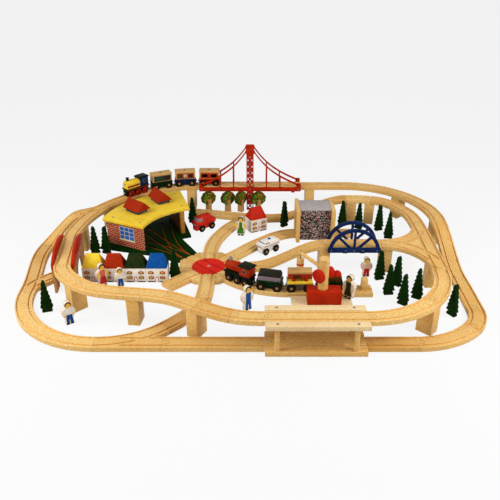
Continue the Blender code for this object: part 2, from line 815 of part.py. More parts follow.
# Station: planks beside the raised track, on turned posts that stand on sills beside the lower track
half_track = TRACK_WIDTH / 2 + 1 * MM
station_half = LONG_STRAIGHT / 2 - 1 * MM
plank_low = HIGH - PLANK_THICK + 1 * MM
post_at = station_half - STATION_POST_INSET
shapes = []
for side in (-1, 1):
    sill = side * (half_track + SILL_WIDTH / 2)
    plank = side * (half_track + PLANK_WIDTH / 2)
    sill_top = TRACK_THICK + (BACK_SILL_RISE if side > 0 else 0)
    shapes.append(block((2 * station_half, SILL_WIDTH, sill_top), 0, (0, sill)))
    shapes.append(block((2 * station_half, PLANK_WIDTH, PLANK_THICK), plank_low, (0, plank)))
    for end in (-1, 1):
        foot = (end * post_at, sill, sill_top - LAP)
        shapes.append(rod(foot, (end * post_at, sill, plank_low + LAP), STATION_POST, 14))
for end in (-1, 1):
    bar = (CROSSBAR_HEIGHT, 2 * half_track + SILL_WIDTH, CROSSBAR_HEIGHT)
    shapes.append(block(bar, PIER_HEIGHT - CROSSBAR_HEIGHT - GAP, (end * post_at, 0)))
part("station", joined(shapes), beech, place=((station_start.x + station_end.x) / 2, station_start.y, 0))


# Engine shed: a fan-shaped base, a brick wall on the left, a wall and post on the right, a sector roof
def around(radius, degrees):
    turn = math.radians(degrees)
    return (radius * math.cos(turn), radius * math.sin(turn))


def radial(length, width, height, low, radius, degrees):
    """A block that lies along a ray from the turntable, its middle at a radius."""
    made = block((length, width, height), low, (radius, 0))
    made.data.transform(Matrix.Rotation(math.radians(degrees), 4, "Z"))
    return made


def eaves(edge, degrees):
    """How far an edge of the roof lies from the turntable at an angle round it."""
    right, left, bulge = edge
    share = (degrees - SHED_FROM) / (SHED_TO - SHED_FROM)
    return right + (left - right) * share + 4 * bulge * share * (1 - share)


def dormer(radius, degrees, heading, low):
    """A low box under a ridged roof, at a place round the turntable."""
    shapes = [
        block((*DORMER[:2], DORMER[2] + LAP), low),
        block(DORMER_ROOF, low + DORMER[2], taper=(1.0, 0.06)),
    ]
    turn_to = Matrix.Rotation(math.radians(heading), 4, "Z")
    for made in shapes:
        made.data.transform(Matrix.Translation((*around(radius, degrees), 0)) @ turn_to)
    return shapes


ring_side = RING_REACH * math.tan(math.pi / 8)
ring_edge = ahead(Pose(0, 0, 0, 135), RING_REACH + GAP / 2)
near_edge = [aside(ring_edge, offset)[:2] for offset in (-ring_side + LAP, ring_side - LAP)]
turns = [SHED_FROM + (SHED_TO - SHED_FROM) * k / 8 for k in range(9)]
back_eaves = [around(eaves(SHED_OUTER, a), a) for a in turns]
front_eaves = [around(eaves(SHED_INNER, a), a) for a in turns]
right_notch = [around(SHED_NOTCH[0], SHED_FROM + 10), around(SHED_NOTCH[0], SHED_FROM + 1)]
left_notch = [around(SHED_OUTER[1], SHED_TO + SHED_APRON), around(SHED_NOTCH[1], SHED_TO)]
base = plate([near_edge[0], *right_notch, *back_eaves[:-1], *left_notch, near_edge[1]], 0, SHED_BASE_THICK)
wall_low = SHED_BASE_THICK + GAP
roof_low = wall_low + SHED_WALL_HEIGHT + GAP
right_at = SHED_FROM + SHED_SIDES[0]
right_low = SHED_BASE_THICK - LAP
right_height = roof_low - GAP - right_low
right_near = eaves(SHED_INNER, right_at) + SHED_EAVE
right_far = eaves(SHED_OUTER, right_at) - SHED_EAVE
right_length = right_far - right_near
right_middle = (right_far + right_near) / 2
right_wall = radial(right_length, SHED_WALL_THICK, right_height, right_low, right_middle, right_at)
right_post = radial(SHED_POST, SHED_POST, right_height - SKIN, right_low + SKIN, right_near, right_at)
base = joined([base, right_wall, right_post])
for number, (degrees, heading) in enumerate(SHED_STALLS):
    lane = ahead(Pose(0, 0, SHED_BASE_THICK, 135), RING_REACH + SHED_WALL_THICK)
    lane = aside(lane, (number - 1) * LANE_SPREAD)
    stall = Pose(*around(SHED_LANE, degrees), SHED_BASE_THICK, heading)
    base = cut(base, grooves([lane, stall], number * SKIN))
part("shed_base", base, green, place=hub_place)
left_at = SHED_TO - SHED_SIDES[1]
left_near = eaves(SHED_INNER, left_at) + SHED_EAVE
left_far = eaves(SHED_OUTER, left_at) - SHED_EAVE
left_size = (left_far - left_near, SHED_WALL_THICK, SHED_WALL_HEIGHT)
part("shed_wall", radial(*left_size, wall_low, (left_far + left_near) / 2, left_at), brick, place=hub_place)
roof = plate(back_eaves + front_eaves[::-1], roof_low, roof_low + SHED_ROOF_THICK)
for spot in DORMERS:
    roof = joined([roof, *dormer(*spot, roof_low + SHED_ROOF_THICK - LAP)])
part("shed_roof", roof, yellow, place=hub_place)


# Houses: white blocks with hipped roofs
def house(x):
    wall = (HOUSE_WIDTH - GAP, HOUSE_DEPTH, HOUSE_WALL)
    roof = (HOUSE_WIDTH - 1 * MM, HOUSE_DEPTH + LAP, HOUSE_ROOF)
    return [block(wall, 0, (x, 0)), block(roof, HOUSE_WALL - SKIN, (x, 0), (0.62, 0.12))]


row = []
for number in range(HOUSE_COUNT):
    row += house((number - (HOUSE_COUNT - 1) / 2) * HOUSE_WIDTH)
row.append(block((HOUSE_COUNT * HOUSE_WIDTH - LAP, HOUSE_DEPTH - LAP, HOUSE_WALL - LAP), SKIN))
part("house_row", joined(row), white, place=(-314 * MM, 290 * MM, 0))
cottage_stand = empty("cottage_stand", (17.6 * MM, 586.3 * MM, 0), 27)
part("cottage", joined(house(0)), white, cottage_stand)


# Wheels and axles
def wheelset(radius):
    """Two wheels on an axle along Y, with its middle at the origin."""
    outer = GAUGE / 2 + WHEEL_THICK / 2
    inner = GAUGE / 2 - WHEEL_THICK / 2
    half = [(0, outer), (radius, outer), (radius, inner), (AXLE_RADIUS, inner)]
    profile = half + [(r, -z) for r, z in reversed(half)]
    made = turned(profile, WHEEL_SIDES)
    made.data.transform(Matrix.Rotation(math.pi / 2, 4, "X"))
    return made


def axle_height(radius):
    return radius - GROOVE_DEPTH + GAP


def vehicle(name, pose, shapes, finish, axles, radius, wheel_finish=None):
    """A body with its wheelsets, standing at a pose on a groove or, at height nought, on the table."""
    height = axle_height(radius) if pose.top else radius
    stand = empty(name + "_stand", (pose.x, pose.y, pose.top), pose.heading)
    bores = []
    for x in axles:
        bores.append(rod((x, -BODY_WIDTH, height), (x, BODY_WIDTH, height), AXLE_RADIUS + GAP, 12))
    part(name, cut(joined(shapes), bores), finish, stand)
    for number, x in enumerate(axles):
        wheels = wheelset(radius)
        part(f"{name}_wheels_{number + 1}", wheels, wheel_finish or black, stand, (x, 0, height))


def frame(length, high):
    """The narrow frame between the wheels, with a round coupler at each end."""
    middle = (FRAME_LOW + high) / 2
    half = length / 2 + COUPLER_STAND
    return [
        block((length, FRAME_WIDTH, high - FRAME_LOW), FRAME_LOW),
        rod((-half, 0, middle), (half, 0, middle), COUPLER_RADIUS, 12),
    ]


def box_wagon():
    size = (WAGON_LENGTH - 4 * MM, BODY_WIDTH, WAGON_TOP - BODY_LOW - ROOF_THICK + LAP)
    roof = (WAGON_LENGTH - 2 * MM, BODY_WIDTH + 2 * MM, ROOF_THICK)
    top = block(roof, WAGON_TOP - ROOF_THICK)
    return frame(WAGON_LENGTH, BODY_LOW + LAP) + [block(size, BODY_LOW), top]


def engine(boiler_flat):
    """An engine with its boiler to the front and its cab behind."""
    board_top = BODY_LOW + BOARD
    centre = board_top + BOILER_RADIUS - LAP
    front = ENGINE_LENGTH / 2 - 3 * MM
    cab = -ENGINE_LENGTH / 2 + CAB_LENGTH / 2 + 3 * MM
    chimney = front - 10 * MM
    shapes = frame(ENGINE_LENGTH, BODY_LOW + LAP)
    shapes.append(block((ENGINE_LENGTH - 2 * MM, BODY_WIDTH, BOARD), BODY_LOW))
    shapes.append(rod((cab, 0, centre), (front, 0, centre), BOILER_RADIUS, 20))
    if boiler_flat:
        size = (front - cab, 2 * BOILER_RADIUS - LAP, BOILER_RADIUS)
        shapes.append(block(size, board_top - LAP, ((front + cab) / 2, 0)))
    cab_size = (CAB_LENGTH, BODY_WIDTH - 2 * MM, CAB_TOP - board_top + LAP)
    shapes.append(block(cab_size, board_top - LAP, (cab, 0)))
    cab_roof = (CAB_LENGTH + 8 * MM, BODY_WIDTH + 4 * MM, ROOF_THICK)
    shapes.append(block(cab_roof, CAB_TOP - SKIN, (cab, 0), (0.8, 0.7)))
    shapes.append(rod((chimney, 0, centre), (chimney, 0, CHIMNEY_TOP), CHIMNEY_RADIUS, 14))
    return shapes


def flat_wagon():
    deck = (SHORT_WAGON, BODY_WIDTH, FLAT_DECK)
    return frame(SHORT_WAGON, BODY_LOW + LAP) + [block(deck, BODY_LOW)]


def tender():
    size = (SHORT_WAGON - 6 * MM, BODY_WIDTH, TENDER_TOP - BODY_LOW)
    return flat_wagon() + [block(size, BODY_LOW + LAP, (0, 0), (0.92, 0.85))]


def barrel_wagon():
    low = BODY_LOW + FLAT_DECK
    half = SHORT_WAGON / 2 - 3 * MM
    lower = (2 * half, BODY_WIDTH - 2 * MM, BODY_WIDTH / 2)
    centre = low + BODY_WIDTH / 2 - LAP
    barrel = rod((-half + SKIN, 0, centre), (half - SKIN, 0, centre), BODY_WIDTH / 2 - SKIN, 20)
    return flat_wagon() + [block(lower, low - LAP), barrel]


# The train on the raised track, from its engine back


def on_back(distance, axles):
    """A pose on the back track, at a distance past the bridge's left end."""
    if distance < 0:
        return ahead(bridge_left, distance)
    pose = bend(bridge_left, BACK_RADIUS, math.degrees(distance / BACK_RADIUS))
    return aside(pose, axles[0] ** 2 / (4 * BACK_RADIUS))


back_arc = math.radians(46) * BACK_RADIUS
train_places = [back_arc - past * MM for past in (0.7, 88.7, 165.7, 242.7)]
lead_pose = on_back(train_places[0], ENGINE_AXLES)
vehicle("yellow_engine", lead_pose, engine(True), yellow, ENGINE_AXLES, DRIVER_RADIUS, red)
vehicle("green_wagon", on_back(train_places[1], WAGON_AXLES), box_wagon(), green, WAGON_AXLES, WHEEL_RADIUS)
vehicle("blue_wagon", on_back(train_places[2], WAGON_AXLES), box_wagon(), blue, WAGON_AXLES, WHEEL_RADIUS)
vehicle("red_wagon", on_back(train_places[3], WAGON_AXLES), box_wagon(), red, WAGON_AXLES, WHEEL_RADIUS)

# The train on the siding, its engine towards the turntable
siding_arc = math.radians(45) * LARGE_RADIUS


def on_siding(distance, axles):
    """A pose that faces the turntable, at a distance past the start of the siding's curve."""
    if distance > siding_arc:
        return back(ahead(siding_flat, distance - siding_arc))
    pose = bend(siding_start, LARGE_RADIUS, math.degrees(distance / LARGE_RADIUS))
    return back(aside(pose, axles[0] ** 2 / (4 * LARGE_RADIUS)))


vehicle("red_engine", on_siding(31 * MM, ENGINE_AXLES), engine(False), red, ENGINE_AXLES, DRIVER_RADIUS)
vehicle("tender", on_siding(113 * MM, WAGON_AXLES), tender(), black, WAGON_AXLES, WHEEL_RADIUS)
flat_pose = on_siding(185 * MM, WAGON_AXLES)
vehicle("flat_wagon", flat_pose, flat_wagon(), yellow, WAGON_AXLES, WHEEL_RADIUS)
vehicle("barrel_wagon", on_siding(257 * MM, WAGON_AXLES), barrel_wagon(), red, WAGON_AXLES, WHEEL_RADIUS)


# Road vehicles on the table
def road_body(cabin_length, cabin_at, top, lamp):
    low = ROAD_WHEEL_RADIUS * 2 + 1 * MM
    cabin = (cabin_length, BODY_WIDTH - 2 * MM, top - ROAD_BODY_TOP + LAP)
    shapes = [
        block((ROAD_LENGTH, FRAME_WIDTH, low + LAP - FRAME_LOW), FRAME_LOW),
        block((ROAD_LENGTH + 4 * MM, BODY_WIDTH, ROAD_BODY_TOP - low), low, (0, 0)),
        block(cabin, ROAD_BODY_TOP - LAP, (cabin_at, 0), (0.8, 0.85)),
    ]
    if lamp:
        shapes.append(rod((cabin_at, 0, top - LAP), (cabin_at, 0, top + LAMP_HEIGHT), LAMP_HEIGHT, 12))
    return shapes


truck_pose = place(-135, 587, 0, 220)
ambulance_pose = place(50, 438, 0, 220)
truck = road_body(44 * MM, 2 * MM, TRUCK_TOP, False)
vehicle("fire_truck", truck_pose, truck, bright_red, ROAD_AXLES, ROAD_WHEEL_RADIUS)
van = road_body(50 * MM, -3 * MM, VAN_TOP, True)
vehicle("ambulance", ambulance_pose, van, white, ROAD_AXLES, ROAD_WHEEL_RADIUS)

# Crane: a base, a mast that slews in it, a winder, and a magnet on its cord over the flat wagon
crane_spot = Vector((flat_pose.x + CRANE_AHEAD, flat_pose.y - CRANE_ASIDE, 0))
crane_place = empty("crane_place", crane_spot)
block_top = CRANE_PLATE[2] + CRANE_BLOCK[2]
crane_plate = block(CRANE_PLATE, 0, (-0.5 * MM, 0))
crane_block = block((*CRANE_BLOCK[:2], CRANE_BLOCK[2] + LAP), CRANE_PLATE[2] - LAP, (4 * MM, 0))
hole = rod((0, 0, block_top - SPIGOT_DEPTH - GAP), (0, 0, block_top + LAP), SPIGOT_RADIUS + GAP, 20)
part("crane_base", cut(joined([crane_plate, crane_block]), [hole]), red, crane_place)
tip = Vector((-CRANE_AHEAD, CRANE_ASIDE, block_top + BOOM_RISE + 16 * MM))
boom_root = Vector((0, 0, block_top + BOOM_RISE))
boom_way = Vector((tip.x, tip.y, 0)).normalized()
mast_low = block_top + GAP
mast = joined(
    [
        rod((0, 0, mast_low), (0, 0, mast_low + MAST_HEIGHT), MAST_RADIUS, 20),
        rod((0, 0, block_top - SPIGOT_DEPTH), (0, 0, mast_low + LAP), SPIGOT_RADIUS, 20),
        rod(boom_root, tip + boom_way * 5 * MM, BOOM_RADIUS, 12),
    ]
)
winder_way = Vector((-0.68, -0.733, 0)).normalized()
winder_root = Vector((0, 0, block_top + WINDER_RISE))
shaft_reach = winder_way * 2 * MAST_RADIUS
shaft_hole = rod(winder_root - shaft_reach, winder_root + shaft_reach, WINDER_SHAFT + GAP, 14)
cord_reach = Vector((0, 0, 4 * BOOM_RADIUS))
cord_hole = rod(tip - cord_reach, tip + cord_reach, CORD_RADIUS + GAP, 10)
part("crane_mast", cut(mast, [shaft_hole, cord_hole]), beech, crane_place)
knob_near = winder_way * (MAST_RADIUS + 1 * MM)
knob_far = winder_way * (MAST_RADIUS + 1 * MM + WINDER_THICK)
winder = joined(
    [
        rod(knob_near, knob_far, WINDER_RADIUS, 20),
        rod(-winder_way * (MAST_RADIUS + 3 * MM), knob_near + winder_way * LAP, WINDER_SHAFT, 14),
    ]
)
part("crane_winder", winder, bright_red, crane_place, winder_root)
magnet_top = -CORD_DROP - BOOM_RADIUS
magnet = joined(
    [
        rod((0, 0, magnet_top - MAGNET_LENGTH), (0, 0, magnet_top), MAGNET_RADIUS, 18),
        rod((0, 0, magnet_top - LAP), (0, 0, 3 * BOOM_RADIUS), CORD_RADIUS, 10),
    ]
)
part("crane_magnet", magnet, beech, crane_place, tip)
crate_low = BODY_LOW + FLAT_DECK + GAP
leg = 7 * MM
crate = joined(
    [
        block((CRATE[0], CRATE[1], CRATE[2] - leg), leg),
        block((leg, CRATE[1] - LAP, leg + LAP), 0, (CRATE[0] / 2 - 2 * leg, 0)),
        block((leg, CRATE[1] - LAP, leg + LAP), 0, (2 * leg - CRATE[0] / 2, 0)),
    ]
)
crate_stand = bpy.data.objects["flat_wagon_stand"]
part("cargo_crate", crate, red, crate_stand, (0, 0, crate_low))

# Fir trees that stand by themselves
def fir():
    """A tiered fir sawn from a board, narrowed to a trunk above its foot."""
    side = [(FIR_HALF - FIR_STEP, 0), (FIR_HALF - FIR_STEP, FIR_FOOT / 2), (FIR_TRUNK, FIR_FOOT)]
    for tier in range(FIR_TIERS):
        step = (FIR_HEIGHT - FIR_FOOT) / FIR_TIERS
        narrower = (FIR_HALF - FIR_TIP) / FIR_TIERS
        low = FIR_FOOT + tier * step
        side.append((FIR_HALF - tier * narrower, low + 2 * FIR_STEP))
        side.append((FIR_HALF - (tier + 1) * narrower - FIR_STEP / 2, low + step))
    side[-1] = (FIR_TIP, FIR_HEIGHT)
    outline = side + [(-x, z) for x, z in reversed(side)]
    return upright(plate(outline, -FIR_THICK / 2, FIR_THICK / 2), 0)


fir_spots = {
    "fir_tree_right": shifted(right_corner, -24.35, 66.35, -60),
    "fir_tree_left": shifted(left_end, 69, -74, 17),
}
for name, spot in fir_spots.items():
    part(name, fir(), green, empty(name + "_stand", (spot.x, spot.y, 0), spot.heading))

# The origin lies under the middle of the set
bpy.context.view_layer.update()
solids = [obj for obj in parts.objects if obj.type == "MESH"]
corners = [obj.matrix_world @ Vector(corner) for obj in solids for corner in obj.bound_box]
layout.location.x = -(min(c.x for c in corners) + max(c.x for c in corners)) / 2
layout.location.y = -(min(c.y for c in corners) + max(c.y for c in corners)) / 2
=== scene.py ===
"""A wooden railway set as it stands on a table: beech track on two levels, two trains, bridges, a turntable
with its engine shed, a crane, a station, houses, trees and small wooden people."""

import math

import bmesh
import bpy
from mathutils import Matrix, Vector
from mathutils.geometry import interpolate_bezier


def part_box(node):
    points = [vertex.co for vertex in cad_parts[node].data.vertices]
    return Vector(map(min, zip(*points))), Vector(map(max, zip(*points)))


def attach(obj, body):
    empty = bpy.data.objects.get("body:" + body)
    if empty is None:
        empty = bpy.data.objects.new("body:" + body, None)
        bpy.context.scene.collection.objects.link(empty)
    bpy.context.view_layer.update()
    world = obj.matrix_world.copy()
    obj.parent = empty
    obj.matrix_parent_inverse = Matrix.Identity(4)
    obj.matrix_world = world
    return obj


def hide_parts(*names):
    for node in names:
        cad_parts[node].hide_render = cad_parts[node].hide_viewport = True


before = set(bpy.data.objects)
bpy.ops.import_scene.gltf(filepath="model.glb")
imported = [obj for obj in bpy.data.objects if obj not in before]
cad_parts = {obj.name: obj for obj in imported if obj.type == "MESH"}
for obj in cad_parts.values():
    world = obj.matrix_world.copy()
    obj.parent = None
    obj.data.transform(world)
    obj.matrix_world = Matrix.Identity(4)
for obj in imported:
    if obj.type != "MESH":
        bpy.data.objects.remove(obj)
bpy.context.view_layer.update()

# The table and the studio: the set stands on white paper between two soft lamps, with a weaker one in
# front. Places are in millimetres of a plan whose origin lies near the middle of the front track, found
# from the turntable's disc.
MM = 0.001
DISC_ON_PLAN = (-108, 335)
CAMERA_BACK = 1.041
CAMERA_HIGH = 0.7655
LOOK_DOWN = 27.2
SENSOR = 36
FOCAL_PIXELS = 600.7
PICTURE_WIDE = 500
SKY_LIGHT = 0.24
SKY_SEEN = 0.94
LAMP_SIZE = 0.7
TABLE_REACH = 20
TABLE_SINK = 0.0006
PAPER_GLOW = 0.86
disc_low, disc_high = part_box("turntable_disc")
plan_x = (disc_low[0] + disc_high[0]) / 2 - DISC_ON_PLAN[0] * MM
plan_y = (disc_low[1] + disc_high[1]) / 2 - DISC_ON_PLAN[1] * MM
scene = bpy.context.scene
scene.view_settings.view_transform = "Standard"

camera = bpy.data.objects.new("camera", bpy.data.cameras.new("camera"))
scene.collection.objects.link(camera)
camera.location = (plan_x, plan_y - CAMERA_BACK, CAMERA_HIGH)
camera.rotation_euler = (math.radians(90 - LOOK_DOWN), 0, 0)
camera.data.sensor_width = SENSOR
camera.data.lens = SENSOR * FOCAL_PIXELS / PICTURE_WIDE
scene.camera = camera


def add_node(tree, kind, settings=None, **links):
    """Adds a node; links and values go to the sockets of those names, with _ for a space, or in0 for a
    number."""
    made = tree.nodes.new(kind)
    for key, value in (settings or {}).items():
        setattr(made, key, value)
    for key, value in links.items():
        if key.startswith("in"):
            socket = made.inputs[int(key[2:])]
        else:
            socket = made.inputs[key.replace("_", " ")]
        if isinstance(value, bpy.types.NodeSocket):
            tree.links.new(value, socket)
        else:
            socket.default_value = value
    return made


def srgb(code):
    """A linear colour from an sRGB hex value."""
    parts = [int(code[k : k + 2], 16) / 255 for k in (1, 3, 5)]
    line = [c / 12.92 if c <= 0.04045 else ((c + 0.055) / 1.055) ** 2.4 for c in parts]
    return (*line, 1.0)


def empty_material(name):
    made = bpy.data.materials.new(name)
    made.use_nodes = True
    tree = made.node_tree
    return made, tree, tree.nodes["Principled BSDF"]


def seen_directly(tree):
    """One for rays from the camera or off a gloss, nought for the light that falls on the set."""
    rays = add_node(tree, "ShaderNodeLightPath")
    seen = rays.outputs["Is Camera Ray"]
    for kind in ("Is Glossy Ray", "Is Transmission Ray"):
        either = add_node(tree, "ShaderNodeMath", {"operation": "MAXIMUM"}, in0=seen, in1=rays.outputs[kind])
        seen = either.outputs[0]
    return seen


world = bpy.data.worlds.new("studio")
world.use_nodes = True
sky_tree = world.node_tree
sky = sky_tree.nodes["Background"]
sky.inputs["Color"].default_value = srgb("#FFFFFF")
sky_level = add_node(
    sky_tree, "ShaderNodeMapRange", Value=seen_directly(sky_tree), To_Min=SKY_LIGHT, To_Max=SKY_SEEN
)
sky_tree.links.new(sky_level.outputs[0], sky.inputs["Strength"])
scene.world = world
lamps = {
    "left_lamp": ((-1.05, -0.5, 0.86), 12.6),
    "right_lamp": ((1.05, -0.5, 0.86), 12.0),
    "front_lamp": ((0.0, -1.55, 0.75), 3.6),
}
for name, (spot, power) in lamps.items():
    lamp = bpy.data.objects.new(name, bpy.data.lights.new(name, "AREA"))
    lamp.data.energy = power
    lamp.data.size = LAMP_SIZE
    lamp.location = spot
    lamp.rotation_euler = (-Vector(spot)).to_track_quat("-Z", "Y").to_euler()
    scene.collection.objects.link(lamp)

floor_grid = bmesh.new()
bmesh.ops.create_grid(floor_grid, x_segments=1, y_segments=1, size=TABLE_REACH)
floor_mesh = bpy.data.meshes.new("table_top")
floor_grid.to_mesh(floor_mesh)
floor_grid.free()
floor = bpy.data.objects.new("table_top", floor_mesh)
floor.location.z = -TABLE_SINK
scene.collection.objects.link(floor)
paper, paper_tree, paper_shader = empty_material("white_paper")
paper_shader.inputs["Base Color"].default_value = srgb("#D6D6D6")
paper_shader.inputs["Roughness"].default_value = 0.9
paper_shader.inputs["Specular IOR Level"].default_value = 0.0
share = add_node(
    paper_tree, "ShaderNodeMath", {"operation": "MULTIPLY"}, in0=seen_directly(paper_tree), in1=PAPER_GLOW
)
glow = add_node(paper_tree, "ShaderNodeEmission", Color=srgb("#FFFFFF"), Strength=1.0)
blend = add_node(
    paper_tree, "ShaderNodeMixShader", Fac=share.outputs[0], in1=paper_shader.outputs[0], in2=glow.outputs[0]
)
paper_tree.links.new(blend.outputs[0], paper_tree.nodes["Material Output"].inputs["Surface"])
floor_mesh.materials.append(paper)

# Track: planed beech bars, 40 by 12 mm, with two milled grooves and eased edges, joined end to end by
# round tongues. The varnish is clear and satin; the pale wood shows fine flecks along the bar.
TRACK_HALF = 20
TRACK_THICK = 12
GROOVE_AT = 13
GROOVE_HALF = 3.6
GROOVE_DEEP = 3
GROOVE_LIP = 0.4
GROOVE_TAPER = 0.2
EASE = 0.9
LOW = 12
HIGH = 77
JOINT_GAP = 0.5
LONG_STRAIGHT = 216
MIDDLE_STRAIGHT = 144
SHORT_STRAIGHT = 108
LARGE_RADIUS = 202
CORNER_RADIUS = 190
SIDE_RADIUS = 110
BACK_RADIUS = 255
BACK_Y = 757
RAMP = 236
RING = 77
WEB = (65.3, 76.8)
LEG_SHY = 0.04
SHARP_ANGLE = 38


def place(x, y, top, heading):
    return (float(x), float(y), float(top), float(heading))


def facing(pose):
    turn = math.radians(pose[3])
    return Vector((math.cos(turn), math.sin(turn), 0))


def ahead(pose, length, top=None):
    step = facing(pose) * length
    return (pose[0] + step.x, pose[1] + step.y, pose[2] if top is None else top, pose[3])


def aside(pose, offset):
    step = facing(pose) * offset
    return (pose[0] - step.y, pose[1] + step.x, pose[2], pose[3])


def facing_back(pose):
    return (*pose[:3], pose[3] + 180)


def bend(pose, radius, degrees):
    reach = radius if degrees > 0 else -radius
    centre = aside(pose, reach)
    return aside((*centre[:3], pose[3] + degrees), -reach)


def path_between(first, second, step=7.0):
    """Points of the smooth curve between two poses, in millimetres of the plan."""
    chord = math.hypot(second[0] - first[0], second[1] - first[1])
    turn = abs((second[3] - first[3] + 180) % 360 - 180)
    reach = chord / (3 * math.cos(math.radians(turn) / 4) ** 2)
    start = Vector(first[:3])
    end = Vector(second[:3])
    count = max(2, int(chord / step))
    leaving = start + facing(first) * reach
    arriving = end - facing(second) * reach
    return interpolate_bezier(start, leaving, arriving, end, count + 1)


def along(first, second, distance):
    """The pose at a distance along the curve between two poses."""
    points = path_between(first, second, 2.0)
    for a, b in zip(points, points[1:]):
        if distance <= (b - a).length:
            spot = a.lerp(b, distance / (b - a).length)
            return (*spot, math.degrees(math.atan2(b.y - a.y, b.x - a.x)))
        distance -= (b - a).length
    return second


def loft(points, section, grain=0.0):
    """A closed bar with a section of (across, up) points along a path, with the grain along its UV map."""
    grid = bmesh.new()
    layer = grid.loops.layers.uv.new("grain")
    rings = []
    run = [0.0]
    for a, b in zip(points, points[1:]):
        run.append(run[-1] + (b - a).length)
    for k, point in enumerate(points):
        before = points[max(k - 1, 0)]
        after = points[min(k + 1, len(points) - 1)]
        way = Vector((after.x - before.x, after.y - before.y, 0)).normalized()
        left = Vector((-way.y, way.x, 0))
        rings.append([grid.verts.new((point + left * a + Vector((0, 0, b))) * MM) for a, b in section])
    girth = [0.0]
    for p, q in zip(section, section[1:] + section[:1]):
        girth.append(girth[-1] + math.hypot(q[0] - p[0], q[1] - p[1]))
    count = len(section)
    for k in range(len(rings) - 1):
        for i in range(count):
            j = (i + 1) % count
            face = grid.faces.new((rings[k][i], rings[k][j], rings[k + 1][j], rings[k + 1][i]))
            for loop, spot in zip(face.loops, ((k, i), (k, i + 1), (k + 1, i + 1), (k + 1, i))):
                loop[layer].uv = ((run[spot[0]] + grain) * MM, girth[spot[1]] * MM)
    for ring in (rings[0], rings[-1]):
        face = grid.faces.new(ring)
        for loop, spot in zip(face.loops, section):
            loop[layer].uv = (grain * MM + spot[0] * 0.02 * MM, spot[1] * MM)
    bmesh.ops.recalc_face_normals(grid, faces=grid.faces)
    return grid


def bar_section():
    """The bar's outline, from its lower left corner."""
    half = [(TRACK_HALF - EASE, 0), (TRACK_HALF, -EASE)]
    half += [(TRACK_HALF, EASE - TRACK_THICK), (TRACK_HALF - EASE, -TRACK_THICK)]
    return [(-a, b) for a, b in reversed(half)] + half


def oblong(half, low, high):
    """A plain oblong section, from half its width, its foot and its top."""
    return [(-half, low), (-half, high), (half, high), (half, low)]


def grooved_section():
    """The bar's outline with its two grooves in the top."""
    top = []
    for side in (-GROOVE_AT, GROOVE_AT):
        near, far = side - GROOVE_HALF, side + GROOVE_HALF
        top += [(near - GROOVE_LIP, 0), (near, -GROOVE_LIP), (near + GROOVE_TAPER, -GROOVE_DEEP)]
        top += [(far - GROOVE_TAPER, -GROOVE_DEEP), (far, -GROOVE_LIP), (far + GROOVE_LIP, 0)]
    outline = bar_section()
    return outline[:4] + top + outline[4:]


def to_mesh(grid):
    mesh = bpy.data.meshes.new("piece")
    grid.to_mesh(mesh)
    grid.free()
    return mesh


def evaluated(piece):
    """The plain mesh of an object with its modifiers applied."""
    bpy.context.view_layer.update()
    return bpy.data.meshes.new_from_object(piece.evaluated_get(bpy.context.evaluated_depsgraph_get()))


def combined(first, others, operation):
    """A grid joined with, or cut by, other grids."""
    base = bpy.data.objects.new("base", to_mesh(first))
    scene.collection.objects.link(base)
    for other in others:
        tool = bpy.data.objects.new("tool", to_mesh(other))
        scene.collection.objects.link(tool)
        step = base.modifiers.new("step", "BOOLEAN")
        step.operation = operation
        step.solver = "EXACT"
        step.object = tool
        done = evaluated(base)
        base.modifiers.clear()
        base.data = done
        bpy.data.objects.remove(tool)
    grid = bmesh.new()
    grid.from_mesh(base.data)
    bpy.data.objects.remove(base)
    return grid


def grained(grid, axis):
    """Lays the grain of a piece's UV map along one of its axes."""
    layer = grid.loops.layers.uv.get("grain") or grid.loops.layers.uv.new("grain")
    across = [k for k in range(3) if k != axis]
    for face in grid.faces:
        face.normal_update()
        lean = [abs(c) for c in face.normal]
        for loop in face.loops:
            spot = loop.vert.co
            if lean[axis] > max(lean[k] for k in across):
                loop[layer].uv = (spot[across[0]] * 0.3, spot[across[1]])
            else:
                wide = across[1] if lean[across[0]] > lean[across[1]] else across[0]
                loop[layer].uv = (spot[axis], spot[wide])
    return grid


def rounded(grid, edges, ease):
    """Rounds edges of a grid by a radius in millimetres."""
    bmesh.ops.bevel(
        grid, geom=edges, offset=ease * MM, segments=2, profile=0.5, affect="EDGES", clamp_overlap=True
    )


def plate(outline, low, high, ease=0.6):
    """A flat plate with eased rims from an outline in millimetres."""
    grid = bmesh.new()
    face = grid.faces.new([grid.verts.new((x * MM, y * MM, low * MM)) for x, y in outline])
    raised = bmesh.ops.extrude_face_region(grid, geom=[face])
    tops = [v for v in raised["geom"] if isinstance(v, bmesh.types.BMVert)]
    bmesh.ops.translate(grid, verts=tops, vec=(0, 0, (high - low) * MM))
    bmesh.ops.recalc_face_normals(grid, faces=grid.faces)
    if ease:
        rounded(grid, [e for e in grid.edges if e.calc_face_angle(0) > 0.6], ease)
    return grained(grid, 0)


def switch(*legs, webs=()):
    """One piece of track with several legs: bars and webs joined, then grooved along each leg. Each leg is a
    hair slimmer than the one before, so that no two faces lie in one plane."""
    bars = []
    cuts = []
    for number, (first, second) in enumerate(legs):
        shy = LEG_SHY * number
        trim = 0.2 + number
        points = path_between(ahead(first, trim), ahead(second, -trim))
        slim = [(a * (1 - shy / TRACK_HALF), b - shy * b / TRACK_THICK - shy / 2) for a, b in bar_section()]
        bars.append(loft(points, slim))
        for side in (-GROOVE_AT, GROOVE_AT):
            line = path_between(aside(ahead(first, -2), side), aside(ahead(second, 2), side))
            cuts.append(loft(line, oblong(GROOVE_HALF + shy, shy - GROOVE_DEEP, 2)))
    made = combined(combined(bars[0], bars[1:] + list(webs), "UNION"), cuts, "DIFFERENCE")
    return [(made, track_beech)]


